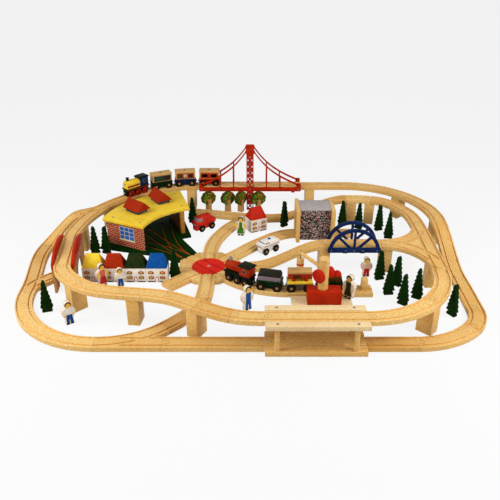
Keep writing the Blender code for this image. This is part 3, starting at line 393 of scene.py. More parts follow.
def assemble(name, items, body="layout", stands_for=(), where=None):
    """Joins grids of several finishes into one named piece that rides on a body."""
    total = bmesh.new()
    finishes = []
    for grid, finish in items:
        if finish not in finishes:
            finishes.append(finish)
        for face in grid.faces:
            face.material_index = finishes.index(finish)
            face.smooth = True
        mesh = to_mesh(grid)
        total.from_mesh(mesh)
        bpy.data.meshes.remove(mesh)
    if where:
        total.transform(where)
    total.transform(Matrix.Translation((plan_x, plan_y, 0)))
    mesh = to_mesh(total)
    mesh.name = name
    for finish in finishes:
        mesh.materials.append(finish)
    mesh.set_sharp_from_angle(angle=math.radians(SHARP_ANGLE))
    made = bpy.data.objects.new(name, mesh)
    scene.collection.objects.link(made)
    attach(made, body)
    if stands_for:
        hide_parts(*stands_for)


# Varnished beech: straw to gold, with short darker flecks along the bar, redder pores and a tone of its
# own for each length of track, which drifts over about 70 mm; planed and sealed, so the sheen is satin.
LENGTH_STEP = 331.0
PLANED_FLECKS = (130.0, 700.0, 1.0)  # flecks about 8 mm long and 1.4 mm wide, coarser than the real ones


def beech_finish(name, pale, golden, deep, coordinate, stretch):
    made, tree, shader = empty_material(name)
    spot = add_node(tree, "ShaderNodeTexCoord")
    spread = add_node(tree, "ShaderNodeMapping", Vector=spot.outputs[coordinate], Scale=stretch)
    flecks = add_node(
        tree, "ShaderNodeTexNoise", Vector=spread.outputs[0], Scale=1.0, Detail=4.0, Roughness=0.7
    )
    ramp = add_node(tree, "ShaderNodeValToRGB", Fac=flecks.outputs["Fac"])
    ramp.color_ramp.elements[0].position = 0.33
    ramp.color_ramp.elements[0].color = srgb(deep)
    ramp.color_ramp.elements[1].position = 0.64
    ramp.color_ramp.elements[1].color = srgb(pale)
    ramp.color_ramp.elements.new(0.46).color = srgb(golden)
    apart = add_node(tree, "ShaderNodeSeparateXYZ", Vector=spot.outputs["UV"])
    number = add_node(
        tree, "ShaderNodeMath", {"operation": "DIVIDE"}, in0=apart.outputs["X"], in1=LENGTH_STEP * MM
    )
    whole = add_node(tree, "ShaderNodeMath", {"operation": "FLOOR"}, in0=number.outputs[0])
    own = add_node(tree, "ShaderNodeTexWhiteNoise", {"noise_dimensions": "1D"}, W=whole.outputs[0])
    slow = add_node(tree, "ShaderNodeTexNoise", Vector=spot.outputs["Object"], Scale=14.0, Detail=2.0)
    both = add_node(
        tree, "ShaderNodeMath", {"operation": "MULTIPLY"}, in0=own.outputs["Value"], in1=slow.outputs["Fac"]
    )
    shift = add_node(
        tree, "ShaderNodeMapRange", Value=both.outputs[0], From_Min=0.1, From_Max=0.6, To_Min=0.0, To_Max=0.8
    )
    mixed = add_node(
        tree,
        "ShaderNodeMix",
        {"data_type": "RGBA"},
        in0=shift.outputs[0],
        in6=ramp.outputs[0],
        in7=srgb(deep),
    )
    tree.links.new(mixed.outputs[2], shader.inputs["Base Color"])
    shader.inputs["Roughness"].default_value = 0.45
    shader.inputs["Specular IOR Level"].default_value = 0.12
    raise_up = add_node(tree, "ShaderNodeBump", Strength=0.12, Distance=0.0004, Height=flecks.outputs["Fac"])
    tree.links.new(raise_up.outputs[0], shader.inputs["Normal"])
    return made


track_beech = beech_finish("varnished_beech", "#EFD6A4", "#DFAF56", "#CC9242", "UV", PLANED_FLECKS)

front_start = place(-330, 0, LOW, 0)
switch_end = ahead(front_start, MIDDLE_STRAIGHT)
station_start = ahead(switch_end, LONG_STRAIGHT)
station_end = ahead(station_start, LONG_STRAIGHT)
front_end = ahead(station_end, SHORT_STRAIGHT)
branch_end = bend(front_start, LARGE_RADIUS, 45)
branch_mid = place(-112, 180, LOW, 82)
hub = place(*DISC_ON_PLAN, LOW, 0)


def spoke(degrees):
    return ahead((*hub[:3], degrees), RING)


right_corner = bend(front_end, CORNER_RADIUS, 45)
right_start = bend(right_corner, SIDE_RADIUS, 43)
ramp_foot = (*ahead(right_start, MIDDLE_STRAIGHT)[:3], 90)
ramp_head = ahead(ramp_foot, RAMP, HIGH)
back_line = place(292, BACK_Y, HIGH, 180)
bridge_right = place(166, BACK_Y, HIGH, 180)
bridge_left = place(-166, BACK_Y, HIGH, 180)
back_half = bend(bridge_left, BACK_RADIUS, 23)
back_curve = bend(bridge_left, BACK_RADIUS, 46)
split = place(-428, 580, HIGH, 242)
inner_split = place(-469, 440, HIGH, 264)
outer_split = place(-487, 532, HIGH, 217)
left_foot = place(-565, 459, LOW, 263)
left_end = place(-540, 212, LOW, 272)
spur_end = place(-486, 300, LOW, 52)
inner_left = place(-471, 384, HIGH, 277.4)
inner_side = ahead(inner_left, 160)
inner_corner = place(-394, 142, HIGH, 317)
inner_front = place(-288, 101, HIGH, 351)
inner_mid = place(-187, 84, HIGH, 343)
inner_low = place(-116, 48, HIGH, 330)
inner_near = place(-38, 9, HIGH, 342)
platform_start = (*station_start[:2], HIGH, 0)
platform_end = (*station_end[:2], HIGH, 0)
loop_front = bend(platform_end, LARGE_RADIUS, 45)
loop_right = bend(platform_end, LARGE_RADIUS, 88)
wye_low = place(452, 232, HIGH, 90)
wye_high = place(459, 436, HIGH, 90)
loop_back = place(449, 545, HIGH, 110)
loop_far = place(362, 640, HIGH, 166)
loop_end = place(290, 646, HIGH, 180)
arch_right = place(336, 340, HIGH, 180)
arch_left = place(193, 340, HIGH, 180)
arch_foot = place(9, 340, LOW, 186)
table_line = place(58, 650, LOW, 184)
table_end = place(-190, 694, LOW, 176)
back_bend = place(-24, 624, LOW, 215)
back_low = place(-89, 520, LOW, 248)
tunnel_near = place(28, 480, LOW, 42)
tunnel_in = place(131, 543, LOW, 0)
tunnel_out = place(300, 543, LOW, 0)
siding_start = ahead(spoke(-45), 6)
siding_flat = bend(siding_start, LARGE_RADIUS, 45)
siding_mid = bend(siding_start, LARGE_RADIUS, 22.5)
siding_end = place(297, siding_flat[1], LOW, 0)

joints = []


def lengths(*poses):
    """Separate lengths of track from pose to pose, a hair apart."""
    made = []
    for first, second in zip(poses, poses[1:]):
        points = path_between(ahead(first, JOINT_GAP / 2), ahead(second, -JOINT_GAP / 2))
        made.append((loft(points, grooved_section(), LENGTH_STEP * len(joints)), track_beech))
        joints.append(first)
    return made


left_fork = along(left_foot, left_end, 110)
table_start = ahead(table_line, -20)
table_fork = along(table_start, table_end, 130)
wye_start = ahead(wye_low, -20)
wye_end = ahead(wye_high, 20)
front_leg = [tuple(point)[:2] for point in path_between(wye_start, arch_right)]
back_leg = [tuple(point)[:2] for point in path_between(facing_back(wye_end), arch_right)]
junction_web = grained(plate(front_leg[:-3] + back_leg[-4::-1], *WEB, 0), 1)
bridge_mid = place(0, BACK_Y, HIGH, 180)
left_switch = facing_back(left_end)
stretches = {
    "front_track": lengths(switch_end, station_start, station_end, front_end)
    + lengths(branch_end, branch_mid, facing_back(spoke(-90)))
    + switch((front_start, switch_end), (front_start, branch_end)),
    "right_track": lengths(front_end, right_corner, right_start, ramp_foot, ramp_head, back_line)
    + lengths(back_line, bridge_right),
    "bridge_track": lengths(bridge_right, bridge_mid, bridge_left, back_half, back_curve, split)
    + switch((split, inner_split), (split, outer_split)),
    "left_track": lengths(outer_split, left_foot, left_fork)
    + lengths(left_end, front_start)
    + switch((left_switch, facing_back(left_fork)), (left_switch, spur_end)),
    "inner_track": lengths(inner_split, inner_left, inner_side, inner_corner, inner_front, inner_mid)
    + lengths(inner_mid, inner_low, inner_near, platform_start),
    "loop_track": lengths(platform_start, platform_end, loop_front, loop_right, wye_start)
    + lengths(wye_end, loop_back, loop_far, loop_end)
    + switch(
        (wye_start, wye_end),
        (wye_start, arch_right),
        (facing_back(wye_end), arch_right),
        webs=[junction_web],
    ),
    "arch_track": lengths(arch_right, arch_left, arch_foot, facing_back(spoke(0))),
    "back_track": lengths(loop_end, table_start)
    + lengths(table_fork, table_end)
    + lengths(back_bend, back_low, facing_back(spoke(90)))
    + switch((table_start, table_fork), (table_start, back_bend)),
    "tunnel_track": lengths(spoke(45), tunnel_near, tunnel_in, tunnel_out),
    "siding_track": lengths(spoke(-45), siding_start, siding_mid, siding_flat, siding_end),
}
for name, items in stretches.items():
    assemble(name + "_bars", items, stands_for=[name])


# Piers and buffer: sawn beech blocks stood on the table under the raised track, and a small braced block
# glued to the end of the siding. Edges are eased, varnish is clear.
PIER = (28, 38)
DECK = 12.2
BUFFER_X = 277


def block(size, low, at=(0, 0), top=(1, 1), ease=0.8, grain=None):
    """An eased block in millimetres, its foot at a height and its top narrowed by two shares."""
    grid = bmesh.new()
    bmesh.ops.create_cube(grid, size=1)
    for vert in grid.verts:
        shrink = top if vert.co.z > 0 else (1, 1)
        x = vert.co.x * size[0] * shrink[0] + at[0]
        y = vert.co.y * size[1] * shrink[1] + at[1]
        vert.co = Vector((x, y, (vert.co.z + 0.5) * size[2] + low)) * MM
    rounded(grid, list(grid.edges), ease)
    return grained(grid, max(range(3), key=lambda k: size[k]) if grain is None else grain)


def upright(grid):
    """Stands a flat plate up, so that its second axis points up."""
    grid.transform(Matrix.Rotation(math.pi / 2, 4, "X"))
    return grid


def moved(grid, at, heading=0.0):
    """Turns a grid about the upright and sets it at a spot of the plan."""
    shift = Matrix.Translation(Vector((*at, 0)[:3]) * MM)
    grid.transform(shift @ Matrix.Rotation(math.radians(heading), 4, "Z"))
    return grid


pier_spots = {
    "right_piers": [ahead(ramp_head, -14), along(ramp_head, back_line, 190), ahead(bridge_right, -24)],
    "bridge_piers": [ahead(bridge_left, 20), along(back_curve, split, 100), ahead(inner_split, -16)],
    "inner_piers": [along(inner_side, inner_corner, 90), along(inner_front, inner_mid, 31), inner_low],
    "loop_piers": [loop_front, ahead(wye_low, 24), ahead(arch_right, -14), loop_far, ahead(loop_end, -16)],
    "arch_pier": [ahead(arch_left, 2)],
}
for name, poses in pier_spots.items():
    blocks = []
    for pose in poses:
        stood = block((*PIER, pose[2] - DECK), 0, ease=1.0, grain=2)
        blocks.append((moved(stood, pose[:2], pose[3]), track_beech))
    assemble(name, blocks)
post = block((15, 16, 30), LOW, (BUFFER_X, siding_end[1]), ease=1.2, grain=2)
brace = upright(plate([(0, 0), (11, 0), (0, 18)], -5, 5, 0.5))
buffer_items = [(post, track_beech), (moved(brace, (BUFFER_X + 7.2, siding_end[1], LOW)), track_beech)]
assemble("buffer_post", buffer_items)

# Track joints: each length ends in a round tongue pushed into the socket of the next, so a thin dark
# line shows the tongue's outline on the top of the track. One line per joint, set by its heading.
TONGUE_RADIUS = 6.0
TONGUE_REACH = 9.0
TONGUE_LINE = 0.7
TONGUE_SWEEP = 290


def repeat(tree, spots, aims, values):
    """The plain mesh that a node tree makes at spots of the plan, each with its direction."""
    cloud = bpy.data.meshes.new("spots")
    cloud.from_pydata([Vector(p) * MM for p in spots], [], [])
    arrow = cloud.attributes.new("aim", "FLOAT_VECTOR", "POINT")
    for number, aim in enumerate(aims):
        arrow.data[number].vector = aim
    holder = bpy.data.objects.new("spots", cloud)
    scene.collection.objects.link(holder)
    step = holder.modifiers.new("repeat", "NODES")
    step.node_group = tree
    for item in tree.interface.items_tree:
        if item.in_out == "INPUT" and item.name in values:
            step[item.identifier] = values[item.name]
    mesh = evaluated(holder)
    holder.modifiers.clear()
    bpy.data.objects.remove(holder)
    grid = bmesh.new()
    grid.from_mesh(mesh)
    bpy.data.meshes.remove(mesh)
    return grid


def new_tree(name, **inputs):
    """An empty geometry tree with spots, a finish and named sizes going in, and one geometry coming out."""
    tree = bpy.data.node_groups.new(name, "GeometryNodeTree")
    tree.interface.new_socket("Spots", in_out="INPUT", socket_type="NodeSocketGeometry")
    tree.interface.new_socket("Finish", in_out="INPUT", socket_type="NodeSocketMaterial")
    for key, value in inputs.items():
        socket = tree.interface.new_socket(key, in_out="INPUT", socket_type="NodeSocketFloat")
        socket.default_value = value
    tree.interface.new_socket("Pieces", in_out="OUTPUT", socket_type="NodeSocketGeometry")
    return tree, add_node(tree, "NodeGroupInput"), add_node(tree, "NodeGroupOutput")


def spread(tree, start, end, shape, axis):
    """Sets a shape at each spot, one of its axes along the spot's direction, and gives it the finish."""
    aim = add_node(tree, "GeometryNodeInputNamedAttribute", {"data_type": "FLOAT_VECTOR"}, Name="aim")
    aimed = aim.outputs["Attribute"]
    turn = add_node(tree, "FunctionNodeAlignRotationToVector", {"axis": axis}, Vector=aimed)
    placed = add_node(
        tree,
        "GeometryNodeInstanceOnPoints",
        Points=start.outputs["Spots"],
        Instance=shape,
        Rotation=turn.outputs["Rotation"],
    )
    real = add_node(tree, "GeometryNodeRealizeInstances", Geometry=placed.outputs["Instances"])
    done = add_node(
        tree, "GeometryNodeSetMaterial", Geometry=real.outputs["Geometry"], Material=start.outputs["Finish"]
    )
    tree.links.new(done.outputs["Geometry"], end.inputs["Pieces"])


# Shadowed beech: the raw, unvarnished wall of the slot round a tongue, dark because little light gets in.
SAWN_FLECKS = (300.0, 300.0, 300.0)  # specks about 3 mm wide
slot_wood = beech_finish("slot_shadow_beech", "#9A6A30", "#7E5424", "#6E4318", "Object", SAWN_FLECKS)
tongue_sizes = {"Radius": TONGUE_RADIUS * MM, "Reach": TONGUE_REACH * MM, "Line": TONGUE_LINE * MM}
tongue_tree, tongue_in, tongue_out = new_tree("tongue_outlines", **tongue_sizes)
arc = add_node(
    tongue_tree,
    "GeometryNodeCurveArc",
    Resolution=18,
    Radius=tongue_in.outputs["Radius"],
    Start_Angle=math.radians(-TONGUE_SWEEP / 2),
    Sweep_Angle=math.radians(TONGUE_SWEEP),
)
shift_on = add_node(tongue_tree, "ShaderNodeCombineXYZ", X=tongue_in.outputs["Reach"], Z=0.00002)
arc_on = add_node(
    tongue_tree,
    "GeometryNodeTransform",
    Geometry=arc.outputs["Curve"],
    Translation=shift_on.outputs["Vector"],
)
line_shape = add_node(
    tongue_tree, "GeometryNodeCurvePrimitiveQuadrilateral", Width=tongue_in.outputs["Line"], Height=0.00012
)
arc_mesh = add_node(
    tongue_tree,
    "GeometryNodeCurveToMesh",
    Curve=arc_on.outputs["Geometry"],
    Profile_Curve=line_shape.outputs["Curve"],
    Fill_Caps=True,
)
spread(tongue_tree, tongue_in, tongue_out, arc_mesh.outputs["Mesh"], "X")
level = [pose for pose in joints if pose[2] in (LOW, HIGH)]
outlines = repeat(
    tongue_tree,
    [pose[:3] for pose in level],
    [facing(pose) for pose in level],
    {"Finish": slot_wood, **tongue_sizes},
)
assemble("tongue_outlines", [(outlines, slot_wood)])

# Brick bridge: two boards with a crowned top and a round-headed passage, glued to the sides of the raised
# track. The crown is painted red by hand; below it a brick pattern is printed on the wood.
BRICK_HALF = 85
BRICK_TOP = 64
BRICK_AT = 23.3
CROWN = 97
CROWN_RISE = 18.5
PASSAGE = 48
BOARD_HALF = 3.2
PRINT_SHINE = 0.05


# Enamel on wood: brushed on thick and level, so the colour is even with slow changes where it lies
# thinner, in patches about 20 mm wide or as many to the metre as asked, and the gloss is broken a little
# by brush marks, drawn 1.4 mm wide, coarser than real ones.
def enamel(name, colour, deep, rough=0.42, patch=45.0, shine=0.04):
    made, tree, shader = empty_material(name)
    spot = add_node(tree, "ShaderNodeTexCoord")
    patches = add_node(
        tree, "ShaderNodeTexNoise", Vector=spot.outputs["Object"], Scale=patch, Detail=4.0, Roughness=0.6
    )
    brush = add_node(tree, "ShaderNodeTexNoise", Vector=spot.outputs["Object"], Scale=700.0, Detail=2.0)
    ramp = add_node(tree, "ShaderNodeValToRGB", Fac=patches.outputs["Fac"])
    ramp.color_ramp.elements[0].position = 0.36
    ramp.color_ramp.elements[0].color = srgb(deep)
    ramp.color_ramp.elements[1].position = 0.58
    ramp.color_ramp.elements[1].color = srgb(colour)
    tree.links.new(ramp.outputs[0], shader.inputs["Base Color"])
    gloss = add_node(
        tree,
        "ShaderNodeMapRange",
        Value=brush.outputs["Fac"],
        From_Min=0.3,
        From_Max=0.7,
        To_Min=rough - 0.06,
        To_Max=rough + 0.1,
    )
    tree.links.new(gloss.outputs[0], shader.inputs["Roughness"])
    shader.inputs["Specular IOR Level"].default_value = shine
    raised = add_node(tree, "ShaderNodeBump", Strength=0.1, Distance=0.0002, Height=brush.outputs["Fac"])
    tree.links.new(raised.outputs[0], shader.inputs["Normal"])
    return made


# Brick print: courses of bricks 2.3 times as long as high, with pale joints, in matt ink that blots every
# 4 mm or so on the bare wood. The row is the height of a course in millimetres.
def brick_print(name, first, second, joint, row):
    made, tree, shader = empty_material(name)
    spot = add_node(tree, "ShaderNodeTexCoord")
    courses = add_node(
        tree,
        "ShaderNodeTexBrick",
        {"offset": 0.5},
        Vector=spot.outputs["UV"],
        Color1=srgb(first),
        Color2=srgb(second),
        Mortar=srgb(joint),
        Scale=1.0,
        Mortar_Size=row * 0.1 * MM,
        Mortar_Smooth=0.2,
        Brick_Width=row * 2.3 * MM,
        Row_Height=row * MM,
    )
    blot = add_node(tree, "ShaderNodeTexNoise", Vector=spot.outputs["Object"], Scale=260.0, Detail=3.0)
    tint = add_node(
        tree,
        "ShaderNodeMapRange",
        Value=blot.outputs["Fac"],
        From_Min=0.35,
        From_Max=0.7,
        To_Min=0.0,
        To_Max=0.45,
    )
    inked = add_node(
        tree,
        "ShaderNodeMix",
        {"data_type": "RGBA"},
        in0=tint.outputs[0],
        in6=courses.outputs["Color"],
        in7=srgb(second),
    )
    tree.links.new(inked.outputs[2], shader.inputs["Base Color"])
    shader.inputs["Specular IOR Level"].default_value = PRINT_SHINE
    shader.inputs["Roughness"].default_value = 0.6
    raised = add_node(tree, "ShaderNodeBump", Strength=0.25, Distance=0.0003, Height=courses.outputs["Fac"])
    raised.invert = True
    tree.links.new(raised.outputs[0], shader.inputs["Normal"])
    return made


bridge_red = enamel("red_enamel", "#B42A0C", "#A02208")
arch_bricks = brick_print("brown_brick_print", "#B9813F", "#9C5A2A", "#C9A878", 3.6)
crown_radius = (BRICK_HALF**2 + CROWN_RISE**2) / (2 * CROWN_RISE)
crown_turn = math.asin(BRICK_HALF / crown_radius)
crown = [
    (crown_radius * math.sin(a), CROWN - crown_radius + crown_radius * math.cos(a))
    for a in [crown_turn * (1 - k / 12) for k in range(25)]
]
crown += [(-BRICK_HALF, BRICK_TOP), (BRICK_HALF, BRICK_TOP)]
swing = [math.pi * k / 20 for k in range(1, 20)]
foot = [(-BRICK_HALF, BRICK_TOP), (-BRICK_HALF, 0), (-PASSAGE, 0)]
foot += [(PASSAGE * math.cos(math.pi - a), PASSAGE * math.sin(a)) for a in swing]
foot += [(PASSAGE, 0), (BRICK_HALF, 0), (BRICK_HALF, BRICK_TOP)]
brick_middle = ahead(inner_left, 80)
boards = []
for side in (-1, 1):
    for outline, finish in ((crown, bridge_red), (foot, arch_bricks)):
        board = moved(upright(plate(outline, -BOARD_HALF, BOARD_HALF)), (0, side * BRICK_AT))
        boards.append((moved(board, brick_middle[:2], brick_middle[3]), finish))
assemble("brick_bridge", boards)

# Turntable: eight wedges of beech glued into an octagon, each grooved for the track that meets it, and a
# red-enamelled disc that turns on a steel pivot in the middle. Dark red strips on the floors of the disc's
# grooves are painted shade.
DISC = 43
DISC_TOP = 12
DISC_PLAY = 0.6
DISC_GROOVE = 1.7
WEDGE_HALF = 22.3
STUB = 62
hub_spot = hub[:2]
ring_wedges = []


def polar(radius, degrees):
    turn = math.radians(degrees)
    return (radius * math.cos(turn), radius * math.sin(turn))


def groove_lines(lane, start, end, top):
    """The two lines of a straight's grooves, between two distances along its lane."""
    lines = []
    for side in (-GROOVE_AT, GROOVE_AT):
        lines.append([Vector((*aside(ahead(lane, e), side)[:2], top)) for e in (start, end)])
    return lines


corner = (RING - 0.2) / math.cos(math.radians(WEDGE_HALF))
for number in range(8):
    aim = 45 * number
    inner_rim = [polar(DISC + DISC_PLAY, aim + WEDGE_HALF * (1 - k / 4)) for k in range(9)]
    outer_rim = [polar(corner, aim + e) for e in (-WEDGE_HALF, WEDGE_HALF)]
    wedge = plate(inner_rim + outer_rim, 0.2, TRACK_THICK, 0.5)
    lane = (0.0, 0.0, 0.0, float(aim))
    cutter = oblong(GROOVE_HALF, -GROOVE_DEEP, 4)
    cuts = [loft(line, cutter) for line in groove_lines(lane, DISC - 4, RING + 4, TRACK_THICK)]
    wedge = combined(wedge, cuts, "DIFFERENCE")
    ring_wedges.append((moved(grained(wedge, number % 2), hub_spot), track_beech))
ring_floor = plate([polar(RING - 1, 45 * (k + 0.5)) for k in range(8)], 0, 2.6)
ring_wedges.append((moved(ring_floor, hub_spot), track_beech))
stub = (*hub[:3], -135.0)
stub_points = path_between(ahead(stub, RING + 0.2), ahead(stub, RING + STUB))
ring_wedges.append((loft(stub_points, grooved_section(), 90.0), track_beech))
assemble("turntable_wedges", ring_wedges, stands_for=["turntable_ring"])


def turned(profile, sides):
    """A piece turned about the upright, from (radius, height) points up its side."""
    grid = bmesh.new()
    rings = []
    for radius, height in profile:
        if radius == 0:
            rings.append([grid.verts.new((0, 0, height * MM))])
            continue
        turns = [2 * math.pi * k / sides for k in range(sides)]
        spots = [Vector((radius * math.cos(a), radius * math.sin(a), height)) * MM for a in turns]
        rings.append([grid.verts.new(spot) for spot in spots])
    for lower, upper in zip(rings, rings[1:]):
        for k in range(sides):
            corners = [lower[j % len(lower)] for j in (k, (k + 1) % sides)]
            corners += [upper[j % len(upper)] for j in ((k + 1) % sides, k)]
            grid.faces.new(list(dict.fromkeys(corners)))
    for ring in (rings[0], rings[-1]):
        if len(ring) > 1:
            grid.faces.new(ring)
    bmesh.ops.recalc_face_normals(grid, faces=grid.faces)
    return grained(grid, 2)


# Turned steel: bright pins and screw heads, brushed by the lathe, with a grey sheen. The lathe marks are
# drawn about 1 mm wide, coarser than real ones.
def steel_finish(name, colour, rough):
    made, tree, shader = empty_material(name)
    spot = add_node(tree, "ShaderNodeTexCoord")
    rings = add_node(tree, "ShaderNodeTexNoise", Vector=spot.outputs["Object"], Scale=900.0, Detail=2.0)
    tone = add_node(tree, "ShaderNodeValToRGB", Fac=rings.outputs["Fac"])
    tone.color_ramp.elements[0].color = srgb("#6E6E6A")
    tone.color_ramp.elements[1].color = srgb(colour)
    tree.links.new(tone.outputs[0], shader.inputs["Base Color"])
    shader.inputs["Metallic"].default_value = 0.85
    shader.inputs["Roughness"].default_value = rough
    return made


steel = steel_finish("turned_steel", "#B9B9B4", 0.4)
disc_red = enamel("bright_red_enamel", "#DA281A", "#CC2014")
# Painted shade: a darker red for strips on the groove floors, where the recess lies in shadow.
groove_shade_red = enamel("dark_red_groove", "#7A1710", "#5E100B", 0.5)
disc_side = [(0, 3.4), (DISC - 0.5, 3.4), (DISC, 3.9), (DISC, 11.2), (DISC - 0.8, DISC_TOP), (0, DISC_TOP)]
disc_lane = (0.0, 0.0, 0.0, -45.0)
cutter = oblong(DISC_GROOVE, -2.4, 4)
disc_cuts = [loft(line, cutter) for line in groove_lines(disc_lane, -DISC - 7, DISC + 7, DISC_TOP)]
disc_shape = combined(turned(disc_side, 64), disc_cuts, "DIFFERENCE")
reach = math.sqrt(DISC**2 - (GROOVE_AT + 2) ** 2) - 1
# The groove floors of the disc, dark red as painted shade.
floors = []
for line in groove_lines(disc_lane, -reach, reach, DISC_TOP - 2.3):
    floors.append((moved(loft(line, oblong(DISC_GROOVE - 0.1, -0.6, 0)), hub_spot), groove_shade_red))
pin = turned([(0, 0.4), (3.9, 0.4), (3.9, 11.9), (3.4, 12.5), (0, 12.7)], 20)
assemble(
    "turntable_red_disc",
    [(moved(disc_shape, hub_spot), disc_red), (moved(pin, hub_spot), steel)] + floors,
    body="turntable_disc",
    stands_for=["turntable_disc"],
)

# Suspension bridge: two sawn and red-enamelled frames, each with a lattice tower, sagging cables and
# hangers cut from one board, screwed to three cross beams under the raised track.
FRAME_AT = 24
GIRDER = (320, 6, 13)
GIRDER_LOW = 63
END_POST = (14, 5.8, 26)
BEAM = (10, 47, 7)
BEAM_LOW = 57.7
BEAM_X = (-136, 0, 136)
BRIDGE_END = 153
HANGERS = (52, 94)
LATTICE = (167, 146, 125, 104, 84, 14)
LATTICE_CELL = (7.6, 9.4, 1.7)


def triangle_cell(z, wide, tall, brace):
    """Four triangular cutters that leave a cross in a cell of the tower's lattice."""
    tools = []
    for dx, dz in ((1, 0), (-1, 0), (0, 1), (0, -1)):
        apex = (dx * brace, dz * brace)
        if dx:
            base = [(dx * wide, tall - brace), (dx * wide, brace - tall)]
        else:
            base = [(wide - brace, dz * tall), (brace - wide, dz * tall)]
        outline = [(x, y + z) for x, y in [apex] + base]
        tools.append(upright(plate(outline, -20, 20, 0)))
    return tools


tower_outline = [(-11, 0), (11, 0), (11, 186), (17, 188), (12, 200), (-12, 200), (-17, 188), (-11, 186)]
cable_ends = [Vector((152, 0, 84)), Vector((82, 0, 114)), Vector((49, 0, 139)), Vector((13, 0, 191))]
cable_line = interpolate_bezier(*cable_ends, 24)
bridge_shapes = []
for side in (-1, 1):
    y = BACK_Y + side * FRAME_AT
    tower = upright(plate(tower_outline, -BOARD_HALF, BOARD_HALF, 0.5))
    cells = [tool for z in LATTICE for tool in triangle_cell(z, *LATTICE_CELL)]
    tower = combined(tower, cells, "DIFFERENCE")
    bridge_shapes.append(moved(grained(tower, 2), (0, y)))
    bridge_shapes.append(block(GIRDER, GIRDER_LOW, (0, y), ease=0.7))
    for end in (-1, 1):
        line = [Vector((end * p.x, y, p.z)) for p in cable_line]
        bridge_shapes.append(loft(line, oblong(2.9, -2.6, 2.6)))
        bridge_shapes.append(block(END_POST, GIRDER_LOW + 0.2, (end * BRIDGE_END, y), ease=0.8))
        for x in HANGERS:
            tall = min(cable_line, key=lambda p: abs(p.x - x)).z - GIRDER_LOW - 2
            bridge_shapes.append(block((4, 5.4, tall), GIRDER_LOW + 0.3, (end * x, y), ease=0.5))
for x in BEAM_X:
    bridge_shapes.append(block(BEAM, BEAM_LOW, (x, BACK_Y), ease=0.6))
bridge_items = [(shape, bridge_red) for shape in bridge_shapes]
assemble("suspension_frames", bridge_items, stands_for=["suspension_bridge"])

# Screws: small pan-head screws of zinc-plated steel that hold the bridges, the station and the shed roof.
# Each head is a low drum with a flattened dome, facing out of the wood.
screw_tree, screw_in, screw_out = new_tree("screw_heads", Radius=0.0022, Height=0.0009)
head_base = add_node(
    screw_tree,
    "GeometryNodeMeshCylinder",
    Vertices=14,
    Radius=screw_in.outputs["Radius"],
    Depth=screw_in.outputs["Height"],
)
dome_radius = add_node(
    screw_tree, "ShaderNodeMath", {"operation": "MULTIPLY"}, in0=screw_in.outputs["Radius"], in1=0.72
)
dome = add_node(
    screw_tree,
    "GeometryNodeMeshCone",
    Vertices=14,
    Radius_Top=dome_radius.outputs[0],
    Radius_Bottom=screw_in.outputs["Radius"],
    Depth=screw_in.outputs["Height"],
)
dome_up = add_node(screw_tree, "ShaderNodeCombineXYZ", Z=screw_in.outputs["Height"])
dome_on = add_node(
    screw_tree, "GeometryNodeTransform", Geometry=dome.outputs["Mesh"], Translation=dome_up.outputs["Vector"]
)
whole_head = add_node(screw_tree, "GeometryNodeJoinGeometry")
screw_tree.links.new(head_base.outputs["Mesh"], whole_head.inputs[0])
screw_tree.links.new(dome_on.outputs["Geometry"], whole_head.inputs[0])
spread(screw_tree, screw_in, screw_out, whole_head.outputs[0], "Z")
zinc = steel_finish("zinc_plated_steel", "#8E918E", 0.5)


def screws(name, spots, aims, radius=2.2):
    heads = repeat(screw_tree, spots, aims, {"Finish": zinc, "Radius": radius * MM, "Height": 0.5 * MM})
    assemble(name, [(heads, zinc)])


bridge_spots = []
bridge_aims = []
for x, z in ((0, 69.5), (-152, 69.5), (152, 69.5), (-4, 53), (4, 53), (-4, 36)):
    for side in (-1, 1):
        bridge_spots.append((x, BACK_Y + side * (FRAME_AT + 3.1), z))
        bridge_aims.append((0, side, 0))
screws("suspension_screws", bridge_spots, bridge_aims)

# Arch bridge: two half-round frames sawn from board and enamelled navy blue, with three spokes each, and
# two ties under the raised track.
ARCH_AT = (264.5, 340)
ARCH = 66
ARCH_RIM = 9
ARCH_LOW = 61
ARCH_GIRDER = (134, 6.2, 13)
ARCH_TIE = (12, 47, 7)
TIE_X = (-22, 22)
navy = enamel("navy_enamel", "#182A58", "#122044")
arch_items = []
for side in (-1, 1):
    y = ARCH_AT[1] + side * FRAME_AT
    swing = [math.pi * k / 36 for k in range(37)]
    rim = [(ARCH * math.cos(a), ARCH * math.sin(a)) for a in swing]
    inner = ARCH - ARCH_RIM
    rim += [(inner * math.cos(a), inner * math.sin(a)) for a in reversed(swing)]
    arch_items.append((moved(upright(plate(rim, -3, 3, 0.6)), (ARCH_AT[0], y, ARCH_LOW)), navy))
    arch_items.append((block(ARCH_GIRDER, ARCH_LOW, (ARCH_AT[0], y), ease=0.7), navy))
    for degrees in (45, 90, 135):
        bar = block((6, 5.6, ARCH - 5), 0, ease=0.5)
        bar.transform(Matrix.Rotation(math.radians(90 - degrees), 4, "Y"))
        arch_items.append((moved(bar, (ARCH_AT[0], y, ARCH_LOW + 2)), navy))
for x in TIE_X:
    arch_items.append((block(ARCH_TIE, BEAM_LOW, (ARCH_AT[0] + x, ARCH_AT[1]), ease=0.6), navy))
assemble("arch_frames", arch_items, stands_for=["arch_bridge"])
arch_spots = [(ARCH_AT[0] + x, ARCH_AT[1] - FRAME_AT - 3.2, 67) for x in (-58, -22, 0, 22, 58)]
screws("arch_screws", arch_spots, [(0, -1, 0)] * 5, 1.6)

# Tunnel: two beech end boards with a square mouth, stone-printed side walls and a grey roof between them.
# The print is dark pebbles with pink and grey flecks in matt ink.
TUNNEL_X = 185.5
TUNNEL_Y = 543
TUNNEL_LONG = 88.6
TUNNEL_HALF = 49
TUNNEL_TALL = 96.5
MOUTH_HALF = 22.8
MOUTH_TALL = 75
END_BOARD = 10.5
END_AT = 49.25
WALL_FROM_MIDDLE = 27


